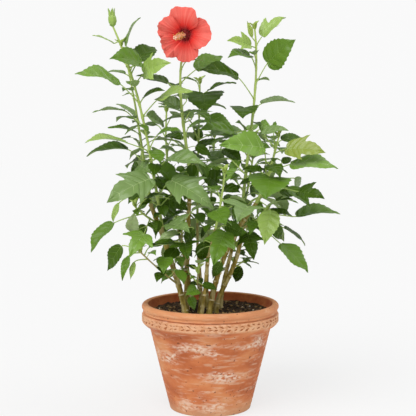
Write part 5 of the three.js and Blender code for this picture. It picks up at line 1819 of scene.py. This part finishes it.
PLAIN = {
    "leaf vein": ("#b3c98a", 0.5), "leaf vein dim": ("#7d9a48", 0.5),
    "stalk": ("#a6bf62", 0.5), "shoot green": ("#adc264", 0.55), "shoot olive": ("#9d9257", 0.7),
    "bark cut": ("#c9b48c", 0.8), "bark scar": ("#c3b68a", 0.8),
    "column": ("#e9a08a", 0.5), "filament": ("#f0c9a8", 0.5), "anther": ("#dd9a4c", 0.7),
    "stigma": ("#f4dcc0", 0.5), "petal vein": ("#d5423a", 0.5),
    # The nicks' clay is darkened as painted shade.
    "terracotta nick shade": ("#a66236", 0.9), "chip": ("#876a40", 0.9), "grain": ("#d9d4c8", 0.9),
}
LEAF_ROUGHNESS = 0.33
GLOSS = {"dark": 0.12, "mid": 0.26}
LIGHT_GLOSS = 0.42


def make_materials():
    for tone, code in TONES.items():
        gloss = GLOSS.get(tone, LIGHT_GLOSS)
        add_material(f"leaf {tone}", code, LEAF_ROUGHNESS, Specular_IOR_Level=gloss)
    add_material("leaf underside", "#8ba266", 0.6, Specular_IOR_Level=0.2)
    for name, (code, roughness) in PLAIN.items():
        add_material(name, code, roughness)
    add_material("soil", soil, 1.0, ((300, (1, 1, 1), 4), 0.002))
    add_material("bark", bark, 0.75, ((700, (1, 1, 0.15), 4), 0.0006), Specular_IOR_Level=0.2)
    add_material("terracotta", terracotta, 0.85, ((260, (1, 1, 1), 5), 0.0005))
    add_material("terracotta inside", terracotta_inside, 0.9)
    add_material("petal", petal, 0.55, Specular_IOR_Level=0.12)


make_materials()
for mass in masses.values():
    leaves, shoots = dress_mass(mass)
    if mass.name == BUD["on"]:
        dress_bud(leaves, mass)
    if mass.name == BLOOM["on"]:
        dress_calyx(leaves, shoots, mass)
    leaves.finish("foliage", [mass.name])
    shoots.finish("foliage", [mass.name], sharp=70)
for name, limb in stems.items():
    dress_stem(name, limb)
dress_petals()
dress_column()
dress_pot()
dress_soil()
dress_soil_bits()


# Studio: a pale floor, soft lights, and the camera at the photograph's viewing angle

CAMERA_DISTANCE = 2.2
CAMERA_HEIGHT = 0.626
CAMERA_PITCH = 4.88
CAMERA_LENS = 88.0
CAMERA_SHIFT = -0.0055
CAMERA_CLIP = (0.1, 100)
SENSOR_WIDTH = 36
FLOOR_REACH = 12
FLOOR_SHADE = 0.2
FLOOR_GLOW = 0.7
WORLD_LIGHT = 0.55
BACKDROP = 0.95
WHITE = (1, 1, 1, 1)


def told_apart(pattern, lighting, seen, output):
    """One shader lights the scene and another is what the camera sees directly."""
    directly = pattern.node("LightPath").outputs["Is Camera Ray"]
    both = pattern.fed("MixShader", directly, lighting.outputs[0], seen.outputs[0])
    pattern.feed(pattern.tree.nodes[output].inputs[0], both.outputs[0])


def make_floor():
    """A pale, dull floor that looks as bright as the backdrop where no shadow falls on it."""
    material = bpy.data.materials.new("floor")
    material.use_nodes = True
    pattern = Pattern(material.node_tree)
    dull = material.node_tree.nodes[PRINCIPLED]
    pattern.feed(dull.inputs["Base Color"], "#f2f2f2")
    pattern.feed(dull.inputs["Roughness"], 1)
    pattern.feed(dull.inputs["Specular IOR Level"], 0)
    shade = pattern.fed("BsdfDiffuse", (FLOOR_SHADE, FLOOR_SHADE, FLOOR_SHADE, 1))
    glow = pattern.fed("Emission", WHITE, FLOOR_GLOW)
    seen = pattern.fed("AddShader", shade.outputs[0], glow.outputs[0])
    told_apart(pattern, dull, seen, "Material Output")
    mesh = bpy.data.meshes.new("floor")
    corners = [(-1, -1), (1, -1), (1, 1), (-1, 1)]
    mesh.from_pydata([(x * FLOOR_REACH, y * FLOOR_REACH, 0) for x, y in corners], [],
                     [(0, 1, 2, 3)])
    mesh.materials.append(material)
    floor = add_object("floor", mesh)


def add_sun(name, place, power, spread):
    """A wide, soft lamp that shines from place towards the origin."""
    light = bpy.data.lights.new(name, "SUN")
    light.energy = power
    light.angle = math.radians(spread)
    lamp = add_object(name, light)
    lamp.location = place
    lamp.rotation_euler = (-Vector(place)).to_track_quat("-Z", "Y").to_euler()


def make_world():
    """Soft light all round, in front of a paler backdrop."""
    world = bpy.data.worlds.new("studio")
    world.use_nodes = True
    pattern = Pattern(world.node_tree)
    light = world.node_tree.nodes["Background"]
    pattern.feed(light.inputs["Color"], WHITE)
    pattern.feed(light.inputs["Strength"], WORLD_LIGHT)
    backdrop = pattern.fed("Background", WHITE, BACKDROP)
    told_apart(pattern, light, backdrop, "World Output")
    bpy.context.scene.world = world


def make_camera():
    data = bpy.data.cameras.new("camera")
    data.lens = CAMERA_LENS
    data.sensor_width = SENSOR_WIDTH
    data.shift_x = CAMERA_SHIFT
    data.clip_start, data.clip_end = CAMERA_CLIP
    camera = add_object("camera", data)
    camera.location = (0, -CAMERA_DISTANCE, CAMERA_HEIGHT)
    camera.rotation_euler = (math.radians(90 - CAMERA_PITCH), 0, 0)
    bpy.context.scene.camera = camera


make_floor()
add_sun("key", (-0.9, -1.5, 2.2), 2.1, 50)
add_sun("fill", (1.4, 0.6, 1.9), 0.7, 70)
make_world()
make_camera()
bpy.context.scene.view_settings.view_transform = "Standard"

bpy.context.view_layer.update()
